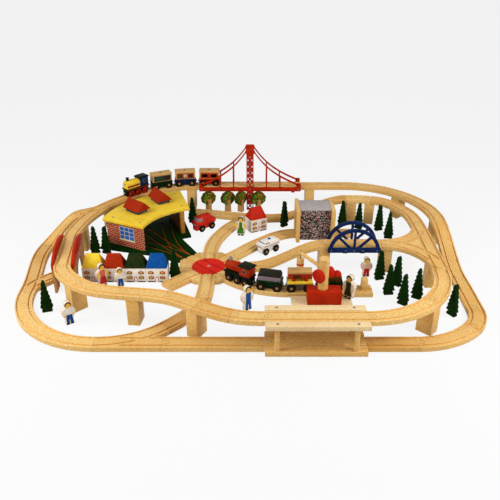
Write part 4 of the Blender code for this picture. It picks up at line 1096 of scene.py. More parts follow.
# Mottled print: cells of a few millimetres, each in one flat tone of matt ink. The tones are a ground and
# (share, colour) steps above it.
def mottled_print(name, cells_per_metre, ground, tones, rough):
    made, tree, shader = empty_material(name)
    spot = add_node(tree, "ShaderNodeTexCoord")
    cells = add_node(tree, "ShaderNodeTexVoronoi", Vector=spot.outputs["Object"], Scale=cells_per_metre)
    pick = add_node(tree, "ShaderNodeSeparateColor", Color=cells.outputs["Color"])
    ramp = add_node(tree, "ShaderNodeValToRGB", Fac=pick.outputs[0])
    ramp.color_ramp.interpolation = "CONSTANT"
    ramp.color_ramp.elements[0].color = srgb(ground)
    ramp.color_ramp.elements[1].position = tones[0][0]
    ramp.color_ramp.elements[1].color = srgb(tones[0][1])
    for at, colour in tones[1:]:
        ramp.color_ramp.elements.new(at).color = srgb(colour)
    tree.links.new(ramp.outputs[0], shader.inputs["Base Color"])
    shader.inputs["Specular IOR Level"].default_value = PRINT_SHINE
    shader.inputs["Roughness"].default_value = rough
    return made


pebble_tones = [(0.36, "#45443F"), (0.55, "#C0766C"), (0.68, "#6F6E68"), (0.84, "#B8ABA4")]
pebbles = mottled_print("pebble_print", 400.0, "#141C16", pebble_tones, 0.7)
roof_grey = enamel("grey_paint", "#B6AFAE", "#A39C9A", 0.6, 150.0)
mouth = [(-TUNNEL_HALF, 0), (-MOUTH_HALF, 0), (-MOUTH_HALF, MOUTH_TALL), (MOUTH_HALF, MOUTH_TALL)]
mouth += [(MOUTH_HALF, 0), (TUNNEL_HALF, 0), (TUNNEL_HALF, TUNNEL_TALL), (-TUNNEL_HALF, TUNNEL_TALL)]
tunnel_items = []
for end in (-1, 1):
    board = upright(plate(mouth, -END_BOARD / 2, END_BOARD / 2, 0.9))
    board.transform(Matrix.Rotation(math.pi / 2, 4, "Z"))
    tunnel_items.append((moved(grained(board, 2), (TUNNEL_X + end * END_AT, TUNNEL_Y)), track_beech))
for side in (-1, 1):
    wall_y = TUNNEL_Y + side * WALL_FROM_MIDDLE
    tunnel_items.append((block((TUNNEL_LONG, 7.6, 91), 0, (TUNNEL_X, wall_y), ease=0.6), pebbles))
tunnel_items += [
    (block((TUNNEL_LONG, 46.8, 14.4), 76.4, (TUNNEL_X, TUNNEL_Y), ease=0.4), track_beech),
    (block((TUNNEL_LONG, 70, 4.6), 90.6, (TUNNEL_X, TUNNEL_Y + 3.8), ease=1.2), roof_grey),
]
assemble("tunnel_boards", tunnel_items, stands_for=["tunnel"])

# Station: two planed beech planks beside the raised track, carried on turned posts that stand on two
# sills and are tied across under the track; four screws hold the planks.
STATION_X = 138
STATION_LONG = 214
POST_X = 82
POST_Y = 28.5
PLANK_Y = 31
PLANK_LOW = 67.5
PLANK_THICK = 10.5
planed_beech = beech_finish("planed_beech", "#F2E2C6", "#E7C88E", "#DCB478", "UV", PLANED_FLECKS)
station_items = []
for side, sill_top in ((-1, 12), (1, 14.5)):
    sill = block((STATION_LONG, 15, sill_top), 0, (STATION_X, side * POST_Y), ease=0.8)
    plank = block((STATION_LONG, 20, PLANK_THICK), PLANK_LOW, (STATION_X, side * PLANK_Y), ease=0.8)
    station_items += [(sill, track_beech), (plank, planed_beech)]
    for end in (-1, 1):
        low = sill_top - 0.2
        post = turned([(0, low), (5.6, low), (6, low + 0.8), (6, 66.9), (5.6, 67.7), (0, 67.7)], 24)
        station_items.append((moved(post, (STATION_X + end * POST_X, side * POST_Y)), track_beech))
for end in (-1, 1):
    tie = block((8, 56.6, 8), 56.7, (STATION_X + end * POST_X, 0), ease=0.6, grain=1)
    station_items.append((tie, track_beech))
assemble("station_platform", station_items, stands_for=["station"])
plank_top = PLANK_LOW + PLANK_THICK
plank_spots = [(STATION_X + end * POST_X, side * PLANK_Y, plank_top) for end in (-1, 1) for side in (-1, 1)]
screws("station_screws", plank_spots, [(0, 0, 1)] * 4, 3.0)

# Engine shed: a fan-shaped base enamelled dark green with three grooved lanes, a brick-printed wall with a
# blue window, a stained post, a back wall coloured dark brown as painted shade, and a yellow roof with two
# red-tiled dormers.
SHED_FROM = 107.0
SHED_TO = 155.0
SHED_IN = (222, 198, 5)
SHED_OUT = (363, 331.5, 14.75)
SHED_FLOOR = 8
SHED_TALL = 68
ROOF = (76.6, 84.6)
NECK = (77.4, 29.8)
LANE_FROM = 85
STALL_R = 318
WALL_AT = 152.8
WALL_R = 264.8
WINDOW_R = 257
POST_AT = 112.9
POST_R = 227
BACK_WALL_R = 293.5
SHED_STALLS = ((117.6, 104.0), (131.0, 127.0), (146.0, 151.0))
shed_green = enamel("dark_green_enamel", "#062804", "#041E03", 0.6, shine=0.03)
lane_stain = enamel("orange_brown_stain", "#8A4A16", "#8E3A12", 0.6, 120.0)
# Painted shade: the back wall under the roof is coloured dark brown for the shadow it stands in.
back_wall_shade = enamel("dark_brown_painted_shade", "#6A4416", "#543008", 0.6, 120.0)
post_stain = enamel("golden_brown_stain", "#B67E34", "#A06A28", 0.6, 120.0)
shed_yellow = enamel("yellow_enamel", "#F2CE3E", "#EAC230", 0.4)
tile_red = enamel("tile_red_paint", "#A42C0A", "#8E2206", 0.5, 220.0)
slate = enamel("slate_blue_paint", "#3C4A50", "#2E3A40", 0.5)
shed_bricks = brick_print("red_brick_print", "#AC3612", "#96280C", "#D4B894", 5.8)


def from_hub(radius, degrees):
    """A spot of the plan at a distance and an angle from the turntable's pivot."""
    x, y = polar(radius, degrees)
    return (hub[0] + x, hub[1] + y)


def radial(grid, radius, degrees):
    """Sets a grid whose length lies along X on a ray from the turntable."""
    return moved(grid, from_hub(radius, degrees), degrees)


def eaves(ends, degrees):
    """How far an edge of the roof lies from the turntable at an angle round it."""
    right, left, bulge = ends
    share = (degrees - SHED_FROM) / (SHED_TO - SHED_FROM)
    return right + (left - right) * share + 4 * bulge * share * (1 - share)


neck = place(0, 0, SHED_FLOOR, 135)
near = [aside(ahead(neck, NECK[0]), offset)[:2] for offset in (-NECK[1], NECK[1])]
turns = [SHED_FROM + (SHED_TO - SHED_FROM) * k / 16 for k in range(17)]
back_eaves = [polar(eaves(SHED_OUT, a), a) for a in turns]
front_eaves = [polar(eaves(SHED_IN, a), a) for a in turns]
base_outline = [near[0], polar(202, 117), polar(202, 108), *back_eaves[:-1], polar(331.5, 159)]
base_outline += [polar(185, 155), near[1]]
base = plate(base_outline, 0, SHED_FLOOR, 0.7)
lanes = []
for number, (degrees, heading) in enumerate(SHED_STALLS):
    stall = place(*polar(STALL_R, degrees), SHED_FLOOR, heading)
    for side in (-GROOVE_AT, GROOVE_AT):
        first = aside(ahead(neck, LANE_FROM), side + (number - 1) * 1.6)
        lanes.append(path_between(first, aside(stall, side)))
        cutter = oblong(GROOVE_HALF, -2.4 - number * 0.03, 3)
        base = combined(base, [loft(lanes[-1], cutter)], "DIFFERENCE")
shed_base_items = [(moved(base, hub_spot), shed_green)]
for number, lane in enumerate(lanes):
    low = -2.5 + number * 0.02
    strip = loft(lane[1:-1], oblong(1.1, low, low + 0.6))
    shed_base_items.append((moved(strip, hub_spot), lane_stain))
back_wall = block((130, 8, SHED_TALL), SHED_FLOOR, ease=0.7, grain=2)
front_post = block((12, 12, SHED_TALL), SHED_FLOOR, ease=0.9, grain=2)
# The back wall carries the dark brown painted shade.
shed_base_items.append((radial(back_wall, BACK_WALL_R, POST_AT), back_wall_shade))
shed_base_items.append((radial(front_post, POST_R, POST_AT), post_stain))
assemble("shed_floor", shed_base_items, stands_for=["shed_base"])
shed_wall = radial(block((122, 8, SHED_TALL), SHED_FLOOR + 0.3, ease=0.6), WALL_R, WALL_AT)
pane_blue = enamel("blue_window_paint", "#2B62B4", "#2455A0", 0.3)
trim = enamel("pale_trim_paint", "#CFC39A", "#BFB48C", 0.5)
window_items = [(shed_wall, shed_bricks)]
for row in range(3):
    for column in range(3):
        pane = block((14, 1.0, 10.8), 32.5 + row * 12.4, ((column - 1) * 16, 4.2), ease=0.3)
        window_items.append((radial(pane, WINDOW_R, WALL_AT), pane_blue))
window_back = block((49, 0.7, 38.6), 31, (0, 4.1), ease=0.2)
window_sill = block((53, 3.0, 3.6), 28, (0, 5.0), ease=0.6)
window_items += [(radial(grid, WINDOW_R, WALL_AT), trim) for grid in (window_back, window_sill)]
assemble("shed_brick_wall", window_items, stands_for=["shed_wall"])
roof_items = [(moved(plate(back_eaves + front_eaves[::-1], *ROOF, 1.0), hub_spot), shed_yellow)]
for radius, degrees, heading in ((310, 120.5, 125.0), (287, 138.0, 140.0)):
    box = block((52, 36, 10.5), 84.2, ease=0.7)
    gable = block((66, 47, 23.6), 94.4, top=(1.0, 0.05), ease=0.5)
    for grid, finish in ((box, slate), (gable, tile_red)):
        roof_items.append((moved(grid, from_hub(radius, degrees), heading), finish))
assemble("shed_yellow_roof", roof_items, stands_for=["shed_roof"])
screw_places = ((310, 151.3), (222, 149.6), (346, 110.4), (246, 111.4))
roof_spots = [(*from_hub(radius, degrees), ROOF[1]) for radius, degrees in screw_places]
screws("roof_screws", roof_spots, [(0, 0, 1)] * 4, 3.0)

# Houses: cream-painted blocks with hipped roofs, each roof in a colour of its own; windows, shutters and
# doors are thin printed plates on the front and back.
HOUSE = 53.5
HOUSE_FACE = 20.2
WINDOW_COLUMNS = (-14.5, 14.5)
WINDOW_ROWS = (9.5, 23.5)
cream = enamel("cream_paint", "#EFE6DA", "#E6DACA", 0.5, 90.0)
shutter_red = enamel("shutter_red_paint", "#B5301C", "#9C2814", 0.5)
window_yellow = enamel("window_yellow_paint", "#E4BE3C", "#CDA42C", 0.4)
pane_dark = enamel("window_frame_brown", "#3A2412", "#2C1A0C", 0.5)
hedge_print = enamel("hedge_green_print", "#2C4A1C", "#6E2A16", 0.6, 400.0)
roof_paints = [
    shed_yellow,
    tile_red,
    enamel("moss_green_paint", "#0A2606", "#2C2A06", 0.6, 160.0, 0.05),
    enamel("roof_blue_paint", "#0E5098", "#0C4282", 0.45, 160.0),
]


def house_front(side):
    """Windows, shutters, door and hedge of one house, on its front or its back, about its middle."""
    face = side * HOUSE_FACE
    proud = side * (HOUSE_FACE + 0.1)
    items = []
    for x in WINDOW_COLUMNS:
        for z in WINDOW_ROWS:
            items.append((block((7.4, 0.8, 8.8), z, (x, face), (0.7, 1), 0.25), pane_dark))
            items.append((block((5.6, 1.0, 6.2), z + 1.2, (x, proud), (0.8, 1), 0.25), window_yellow))
            items.append((block((0.7, 1.2, 6.2), z + 1.2, (x, proud), (1, 1), 0.1), pane_dark))
            for lean in (-1, 1):
                shutter = block((2.6, 0.8, 7.2), z + 0.6, (x + lean * 5.3, face), (1, 1), 0.2)
                items.append((shutter, shutter_red))
    items.append((block((9.4, 0.8, 15), 1.2, (0, face), (0.62, 1), 0.3), shutter_red))
    items.append((block((6.8, 1.0, 13), 1.2, (0, proud), (0.6, 1), 0.3), cream))
    for x in WINDOW_COLUMNS:
        hedge = block((18, 0.9, 3.0), 0.8, (x, side * (HOUSE_FACE + 0.05)), (0.94, 1), 0.4)
        items.append((hedge, hedge_print))
    return items


def house(at, paint, heading=0.0):
    items = [(block((HOUSE - 0.3, 39.6, 40), 0, ease=0.5), cream)]
    items.append((block((HOUSE - 0.6, 41.4, 32), 39.8, top=(0.62, 0.12), ease=0.6), paint))
    items += house_front(-1) + house_front(1)
    return [(moved(grid, at, heading), finish) for grid, finish in items]


cottage_red = enamel("cottage_red_paint", "#C42A16", "#AE2210", 0.5, 160.0)
row_items = []
for number in range(4):
    row_items += house((-314 + (number - 1.5) * HOUSE, 290), roof_paints[number])
assemble("terrace_houses", row_items, stands_for=["house_row"])
assemble("red_roofed_cottage", house((17.6, 586.3), cottage_red, 27), stands_for=["cottage"])

# Crane: a beech plate with a red block on it, a turned beech mast with a dowel boom that slews in the
# block, a red winding knob through the mast, and a red-striped beech magnet on a cord.
CRANE_AT = (170.0, 167.0, 0.0)
CRANE_TIP = (-50.1, 50.1, 112)
PLATE_THICK = 8
MAST = 12
MAST_LOW = 44.3
MAST_TOP = 124.3
SHAFT_AT = 84
SHAFT_REACH = 40
knob_red = enamel("signal_red_enamel", "#C02410", "#AE1C0A", 0.34)
black_paint = enamel("black_enamel", "#10180C", "#161A0C", 0.4)
cord_yarn = enamel("twisted_cord", "#4A3A2C", "#30261C", 0.8, 900.0)


def rod(start, end, radius, sides, ease=0.5):
    """A turned rod with eased ends between two points in millimetres."""
    start = Vector(start)
    end = Vector(end)
    long = (end - start).length
    lower = [(0, 0), (radius - ease, 0), (radius, ease)]
    shape = turned(lower + [(r, long - z) for r, z in reversed(lower)], sides)
    turn = Vector((0, 0, 1)).rotation_difference(end - start).to_matrix().to_4x4()
    shape.transform(Matrix.Translation(start * MM) @ turn)
    return shape


def above(height):
    """A point of the crane's upright axis."""
    return Vector((0, 0, height))


crane_where = Matrix.Translation(Vector(CRANE_AT) * MM)
plate_items = [
    (block((143, 50, PLATE_THICK), 0, (-0.5, 0), ease=0.9), planed_beech),
    (block((80, 34, 36), PLATE_THICK, (4, 0), ease=2.2), bridge_red),
]
assemble("crane_plate", plate_items, stands_for=["crane_base"], where=crane_where)
mast_profile = [(0, MAST_LOW), (MAST - 1, MAST_LOW), (MAST, MAST_LOW + 1), (MAST, MAST_TOP - 1.4)]
mast_profile += [(MAST - 1.4, MAST_TOP), (0, MAST_TOP)]
winder_way = Vector((-0.68, -0.733, 0)).normalized()
tip = Vector(CRANE_TIP)
boom_way = Vector((tip.x, tip.y, 0)).normalized()
shaft_line = [winder_way * reach + above(SHAFT_AT) for reach in (-SHAFT_REACH, SHAFT_REACH)]
mast_shape = combined(turned(mast_profile, 32), [rod(*shaft_line, 3.5, 16, 0.1)], "DIFFERENCE")
mast_items = [
    (mast_shape, track_beech),
    (rod(above(96), tip + boom_way * 5, 4.5, 20, 0.8), track_beech),
]
for height, turn in ((70, -18), (112, -14)):
    side = Vector((*polar(1, turn), 0))
    plug = rod(above(height) + side * (MAST - 1), above(height) + side * (MAST + 0.4), 2.6, 14, 0.2)
    mast_items.append((plug, black_paint))
assemble("crane_mast_turned", mast_items, "crane_mast", ["crane_mast"], crane_where)
knob_from = winder_way * (MAST + 1) + above(SHAFT_AT)
winder_items = [
    (rod(knob_from, knob_from + winder_way * 11, 16.6, 36, 3.0), knob_red),
    (rod(knob_from + winder_way * 10.2, knob_from + winder_way * 11.5, 5.0, 20, 0.6), knob_red),
    (rod(winder_way * -(MAST + 3) + above(SHAFT_AT), knob_from + winder_way, 2.9, 16, 0.3), track_beech),
]
assemble("crane_winding_knob", winder_items, "crane_winder", ["crane_winder"], crane_where)
magnet_items = [
    (rod(tip + above(-37), tip + above(-31.6), 9, 28, 0.8), track_beech),
    (rod(tip + above(-31.8), tip + above(-28.2), 8.9, 28, 0.2), knob_red),
    (rod(tip + above(-28.4), tip + above(-14), 9, 28, 1.6), track_beech),
    (rod(tip + above(-15), tip + above(6), 1.1, 10, 0.2), cord_yarn),
]
assemble("crane_magnet_block", magnet_items, "crane_magnet", ["crane_magnet"], crane_where)

# Wheels: beech discs turned with a raised rim and hub, enamelled, in pairs pressed on a steel axle that
# turns in the chassis. A dowel of end grain or a black stud closes each hub.
WHEEL_AT = 13
WAGON_WHEEL = 11.5
SMALL_WHEEL = 10.5
WHEEL_SUNK = 2.7
END_GRAIN = (500.0, 500.0, 500.0)  # specks about 2 mm wide
hub_tan = beech_finish("end_grain_dowel", "#B98A4E", "#A67840", "#95682F", "Object", END_GRAIN)
wheel_black = enamel("black_wheel_enamel", "#191713", "#24201B", 0.45)
wheel_red = enamel("red_wheel_enamel", "#A32411", "#8E1C0C", 0.4)


def wheel_pair(radius, paint, hub_paint):
    """Two wheels and their axle along Y, about the middle of the axle."""
    rim = radius * 0.74
    hub_edge = radius * 0.36
    tyre = [(0, -1.7), (radius - 0.6, -1.7), (radius, -1.1), (radius, 1.0), (radius - 0.7, 1.7)]
    dish = [(rim, 1.7), (rim - 0.6, 1.0), (hub_edge + 0.4, 1.0), (hub_edge, 1.6), (0, 1.6)]
    stud = [(0, 1.4), (hub_edge - 0.5, 1.4), (hub_edge - 0.5, 2.0), (hub_edge - 1.2, 2.5), (0, 2.6)]
    items = []
    for side in (-1, 1):
        for grid, finish in ((turned(tyre + dish, 36), paint), (turned(stud, 24), hub_paint)):
            grid.transform(Matrix.Rotation(-side * math.pi / 2, 4, "X"))
            items.append((moved(grid, (0, side * WHEEL_AT, 0)), finish))
    items.append((rod((0, -WHEEL_AT, 0), (0, WHEEL_AT, 0), 1.5, 12, 0.1), steel))
    return items


def middle_of(node):
    low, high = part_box(node)
    return Vector([(a + b) / 2 for a, b in zip(low, high)])


def stand_of(name, count, radius):
    """Where a vehicle stands, from its first and last axle: a turn and a place under its middle."""
    first = middle_of(f"{name}_wheels_1")
    last = middle_of(f"{name}_wheels_{count}")
    turn = math.atan2(first.y - last.y, first.x - last.x)
    spot = (first + last) / 2 - Vector((plan_x, plan_y, radius * MM))
    return Matrix.Translation(spot) @ Matrix.Rotation(turn, 4, "Z")


def add_vehicle(name, items, axles, radius, paint, hub_paint, sunk=WHEEL_SUNK):
    """A body and its wheel pairs; axles are the places of the pairs along the body, and the wheels of a
    train are sunk in the grooves."""
    stand = stand_of(name, len(axles), radius - sunk)
    assemble(name + "_body", items, name, [name], stand)
    for number, x in enumerate(axles):
        node = f"{name}_wheels_{number + 1}"
        lifted = stand @ Matrix.Translation(Vector((x, 0, radius - sunk)) * MM)
        assemble(node + "_pair", wheel_pair(radius, paint, hub_paint), node, [node], lifted)


# Wagons: beech boxes with a rounded roof on an enamelled chassis, a coloured panel printed on each side.
# Magnets in short dowels couple them end to end.
WAGON = 67
WAGON_AXLES = (20, -20)
CHASSIS = (4, 21.7)
OILED_FLECKS = (160.0, 600.0, 1.0)  # flecks about 6 mm long and 1.7 mm wide
coupling = steel_finish("nickelled_magnet", "#9A9A96", 0.45)
roof_beech = beech_finish("oiled_beech_roof", "#D9B277", "#C79A55", "#B98A48", "UV", OILED_FLECKS)
panel_red = enamel("red_panel_print", "#A8321C", "#8C2412", 0.6, 300.0)
panel_dark = enamel("dark_panel_print", "#2A3A34", "#3A3028", 0.6, 260.0)
panel_green = enamel("green_panel_print", "#2E5A34", "#24462A", 0.6, 260.0)
panel_pale = enamel("pale_panel_print", "#D8C79A", "#C4B080", 0.6, 260.0)
chassis_green = enamel("chassis_green_enamel", "#0C2C0C", "#082208", 0.42)


def chassis(length, paint):
    """The narrow frame between the wheels with a magnet dowel at each end."""
    low, high = CHASSIS
    middle = (low + high) / 2
    half = length / 2
    items = [(block((length, 18, high - low), low, ease=0.9), paint)]
    for end in (-1, 1):
        dowel = rod((end * (half - 1), 0, middle), (end * (half + 3.4), 0, middle), 3.0, 18, 0.4)
        items.append((dowel, coupling))
    return items


def box_wagon(paint, panels):
    """A box wagon; each panel is (along, low, length, height, paint)."""
    peg = turned([(0, 49.5), (5.0, 49.5), (5.0, 50.1), (4.2, 50.5), (0, 50.6)], 24)
    items = chassis(WAGON, paint) + [
        (block((64, 30, 4.4), 20.2, ease=0.8), paint),
        (block((62, 29, 23), 23.6, ease=1.0), roof_beech),
        (block((WAGON - 2, 32, 4.6), 45.4, top=(0.98, 0.9), ease=1.4), roof_beech),
        (peg, slot_wood),
    ]
    for x, low, length, height, ink in panels:
        for side in (-1, 1):
            items.append((block((length, 0.9, height), low, (side * x, side * 14.6), ease=0.3), ink))
    return items


def add_wagon(name, items):
    add_vehicle(name, items, WAGON_AXLES, WAGON_WHEEL, wheel_black, hub_tan)


green_panels = [(0, 26, 54, 17, panel_dark), (-14, 28, 16, 12, panel_red), (12, 29, 20, 10, panel_green)]
add_wagon("green_wagon", box_wagon(chassis_green, green_panels))
blue_panels = [(0, 26, 54, 17, panel_red), (-17, 28, 12, 13, panel_dark), (0, 29, 12, 11, panel_pale)]
blue_panels += [(16, 28, 14, 13, panel_green)]
add_wagon("blue_wagon", box_wagon(navy, blue_panels))
red_panels = [(0, 26, 54, 17, panel_red), (-14, 29, 18, 10, panel_pale), (14, 29, 18, 10, panel_dark)]
add_wagon("red_wagon", box_wagon(bridge_red, red_panels))

# Engines: a boiler on a running board, a cab with a flared roof and a turned chimney. The yellow one has a
# boxed boiler with a chamfered top and a red stripe; the red one has a round boiler and a steel chimney cup.
ENGINE = 82
ENGINE_AXLES = (25, 0, -25)
CAB_X = -23
CHIMNEY_X = 28
BOILER = 12.5
BOILER_AT = 37.6
glass_dark = enamel("dark_window_paint", "#23282A", "#1A1E20", 0.2)
ring_grey = steel_finish("window_ring_steel", "#A9A9A4", 0.4)
engine_yellow = enamel("engine_yellow_enamel", "#F0CC3E", "#E6BE30", 0.36)
engine_red = enamel("engine_red_enamel", "#A62C0C", "#922208", 0.36)


def porthole(x, y, z, side, radius):
    """A round window with its ring on a side of a cab."""
    way = Vector((0, side, 0))
    spot = Vector((x, y * side, z))
    pane = rod(spot - way * 0.6, spot + way * 0.35, radius, 22, 0.15)
    ring = rod(spot - way * 0.6, spot + way * 0.2, radius + 1.0, 22, 0.2)
    return [(pane, glass_dark), (ring, ring_grey)]


def engine(boiler, cab_paint, roof_paint, frame_paint, board_paint):
    """An engine round its boiler, from the paints of its cab, roof, chassis and running board."""
    items = chassis(ENGINE, frame_paint)
    items.append((block((ENGINE - 2, 30, 4.2), 21.5, ease=0.8), board_paint))
    items += boiler
    items.append((block((30, 28, 25.4), 25.2, (CAB_X, 0), ease=1.0), cab_paint))
    items.append((block((38, 34, 4.4), 49.8, (CAB_X, 0), top=(0.82, 0.72), ease=0.9), roof_paint))
    for side in (-1, 1):
        items += porthole(CAB_X, 14, 39, side, 4.6)
    return items


box_outline = [(-BOILER, 25.3), (BOILER, 25.3), (BOILER, 40), (6.5, 48.4), (-6.5, 48.4), (-BOILER, 40)]
boxed = upright(plate(box_outline, -25, 25, 0.9))
boxed.transform(Matrix.Rotation(math.pi / 2, 4, "Z"))
chimney = turned([(0, 44), (4.2, 44), (4.0, 52), (5.6, 57.4), (5.0, 58), (3.4, 58), (3.2, 53), (0, 53)], 26)
yellow_boiler = [(grained(moved(boxed, (13.5, 0)), 0), engine_yellow)]
yellow_boiler.append((moved(chimney, (CHIMNEY_X, 0)), black_paint))
for side in (-1, 1):
    yellow_boiler.append((block((44, 0.8, 5), 30, (15, side * (BOILER + 0.2)), ease=0.3), panel_red))
    yellow_boiler.append((block((80.4, 0.8, 1.6), 21.3, (0, side * 15), ease=0.2), panel_red))
yellow_boiler.append((rod((37.6, 0, 40), (40.0, 0, 40), 3.2, 18, 0.5), ring_grey))
yellow_items = engine(yellow_boiler, navy, black_paint, black_paint, chassis_green)
add_vehicle("yellow_engine", yellow_items, ENGINE_AXLES, SMALL_WHEEL, wheel_red, wheel_black)
cup = turned([(0, 47), (4.6, 47), (3.6, 50.5), (5.4, 57.4), (4.9, 58), (4.2, 58), (3.4, 53), (0, 53)], 26)
steam_dome = turned([(0, 48), (4.4, 48), (4.4, 51.5), (3.2, 53.6), (0, 54)], 24)
red_boiler = [
    (rod((-12, 0, BOILER_AT), (38, 0, BOILER_AT), BOILER, 36, 1.6), engine_red),
    (moved(cup, (CHIMNEY_X, 0)), steel),
    (moved(steam_dome, (2, 0)), engine_red),
    (rod((37.4, 0, BOILER_AT), (39.6, 0, BOILER_AT), 8.4, 28, 0.6), black_paint),
]
red_items = engine(red_boiler, engine_red, black_paint, black_paint, black_paint)
add_vehicle("red_engine", red_items, ENGINE_AXLES, SMALL_WHEEL, wheel_black, hub_tan)

# Tender, flat wagon and barrel wagon: solid beech loads on decks of the same chassis; the flat wagon
# carries a crate on two bearers for the crane.
DECK_LONG = 62
lilac = enamel("grey_lilac_enamel", "#8A808C", "#6A4A50", 0.5, 400.0)
olive_black = enamel("olive_black_enamel", "#25251A", "#1A1A12", 0.5)
load_brown = enamel("barrel_brown_stain", "#4E3008", "#3C2206", 0.6)
chassis_grey = enamel("grey_chassis_enamel", "#6E6A64", "#5C5852", 0.45)


def deck_wagon(paint, deck_paint, ease):
    """A chassis with a plain deck."""
    return chassis(DECK_LONG, paint) + [(block((DECK_LONG, 30, 6), 21.5, ease=ease), deck_paint)]


tender_items = deck_wagon(chassis_green, chassis_green, 0.8) + [
    (block((56, 29.4, 11.5), 27, ease=0.8), lilac),
    (block((57, 30, 8.8), 38.2, top=(0.9, 0.78), ease=1.2), olive_black),
]
add_wagon("tender", tender_items)
add_wagon("flat_wagon", deck_wagon(chassis_grey, shed_yellow, 0.9))
crate_items = [
    (block((58, 24, 13.5), 34.8, ease=0.8), panel_red),
    (block((58.4, 24.6, 6), 48.2, ease=0.9), roof_beech),
]
for x in (-15, 15):
    crate_items.append((block((7, 23.6, 7.2), 27.8, (x, 0), ease=0.5), bridge_red))
for side in (-1, 1):
    crate_items.append((block((18, 0.8, 9), 36.4, (8, side * 12), ease=0.3), load_brown))
crate_stand = stand_of("flat_wagon", len(WAGON_AXLES), WAGON_WHEEL - WHEEL_SUNK)
assemble("cargo_crate_box", crate_items, "flat_wagon", ["cargo_crate"], crate_stand)
barrel_items = deck_wagon(chassis_green, chassis_green, 0.9)
barrel_items.append((block((56, 28, 13), 27.2, ease=1.0), load_brown))
for x, top, half in ((-18, 51.5, 10.5), (0, 63, 13.5), (18, 52, 10.5)):
    arc = [math.pi / 2 * k / 8 for k in range(9)]
    profile = [(0, 38), (half, 38)] + [(half * math.cos(a), 40 + (top - 40) * math.sin(a)) for a in arc]
    profile[-1] = (0, top)
    barrel_items.append((moved(turned(profile, 32), (x, 0)), knob_red))
add_wagon("barrel_wagon", barrel_items)

# Road vehicles: a fire truck with a ladder on its roof and an ambulance with a blue lamp, each sawn from
# one beech block and enamelled; windows, bumpers and a stripe are painted on.
ROAD_AXLES = (18, -18)
TAIL = 32
SCREEN_LEAN = 16
LADDER_HALF = 6
RUNG_STEP = 7
truck_red = enamel("fire_red_enamel", "#CC3020", "#BC2618", 0.36)
van_cream = enamel("ivory_enamel", "#F0EAE0", "#E6DED2", 0.4)
window_grey = enamel("grey_window_paint", "#8C9094", "#74787C", 0.25)
lamp_blue = enamel("blue_lamp_enamel", "#2458B8", "#1C4AA2", 0.2)


def road_vehicle(paint, nose, cabin, ease):
    """A body sawn from one block. The nose is how far it reaches past the front axle; the cabin is its
    length, its place along the body and its top."""
    long, at, top = cabin
    front = nose + ROAD_AXLES[0]
    reach = front + TAIL
    middle = (front - TAIL) / 2
    items = [
        (block((reach - 2, 19, 16), 6, (middle, 0), ease=1.6), paint),
        (block((reach, 30, 13.4), 21.2, (middle, 0), ease=3.2), paint),
        (block((long, 28.4, top - 31), 31, (at, 0), top=(0.84, 0.86), ease=ease), paint),
    ]
    lean = math.radians(SCREEN_LEAN)
    for side in (-1, 1):
        pane = block((long * 0.24, 0.8, top - 36), 0, ease=0.3)
        pane.transform(Matrix.Rotation(side * lean * 0.6, 4, "X"))
        items.append((moved(pane, (at + 0.3 * long, side * 13.9, 34.2)), window_grey))
        screen = block((0.9, 11.2, top - 34), 0, ease=0.3)
        screen.transform(Matrix.Rotation(-lean, 4, "Y"))
        items.append((moved(screen, (at + long / 2 - 0.7, side * 6.2, 32.8)), window_grey))
    for end in (-1, 1):
        bumper = block((1.0, 22, 3.4), 23.6, (middle + end * (reach / 2 - 0.1), 0), ease=0.4)
        items.append((bumper, window_grey))
    return items


truck_items = road_vehicle(truck_red, 20, (54, 6, 46), 3.0)
for side in (-1, 1):
    truck_items.append((block((42, 2.2, 1.8), 45.8, (2, side * LADDER_HALF), ease=0.4), truck_red))
for k in range(6):
    x = -16 + RUNG_STEP * k
    truck_items.append((rod((x, -LADDER_HALF, 46.6), (x, LADDER_HALF, 46.6), 0.9, 10, 0.2), truck_red))
add_vehicle("fire_truck", truck_items, ROAD_AXLES, SMALL_WHEEL, wheel_black, hub_tan, 0)
van_items = road_vehicle(van_cream, 14, (56, -3, 39), 4.2)
van_lamp = turned([(0, 38.2), (4, 38.2), (4, 40.2), (3.2, 41.6), (0, 42.2)], 26)
van_items.append((moved(van_lamp, (-3, 0)), lamp_blue))
for side in (-1, 1):
    van_items.append((block((52, 0.6, 1.8), 27, (0, side * 15), ease=0.2), shutter_red))
add_vehicle("ambulance", van_items, ROAD_AXLES, SMALL_WHEEL, wheel_black, hub_tan, 0)

# Fir trees: tiered outlines sawn from 11 mm board and dipped in dark green paint, which lies thin on the
# sawn edges. Two stand alone by the ramp and the front curve, the others in groups about the table.
FIR_TALL = 80
FIR_HALF = 13
FIR_TIP = 3.5
FIR_THICK = 11
FIR_FOOT = 11
FIR_TIERS = 6
fir_green = enamel("fir_green_dip", "#062806", "#182604", 0.7, 130.0, 0.03)


def mirrored(half):
    """A whole outline from its right half."""
    return half + [(-x, z) for x, z in reversed(half)]


def fir(spot):
    """A fir at a spot of the plan: its place across, its place in depth and its heading."""
    side = [(FIR_HALF - 1.6, 0), (FIR_HALF - 1.2, FIR_FOOT * 0.5), (7.4, FIR_FOOT)]
    step = (FIR_TALL - FIR_FOOT) / FIR_TIERS
    narrower = (FIR_HALF + 1.4 - FIR_TIP) / FIR_TIERS
    for tier in range(FIR_TIERS):
        low = FIR_FOOT + tier * step
        wide = FIR_HALF + 1.4 - tier * narrower
        side += [(wide - 0.8, low + 0.8), (wide, low + 2.8), (wide - 1.6, low + 5.2)]
        side.append((wide - narrower - 2.2, low + step))
    side[-1] = (FIR_TIP - 1, FIR_TALL)
    board = upright(plate(mirrored(side), -FIR_THICK / 2, FIR_THICK / 2, 0.7))
    return moved(grained(board, 2), spot[:2], spot[2])


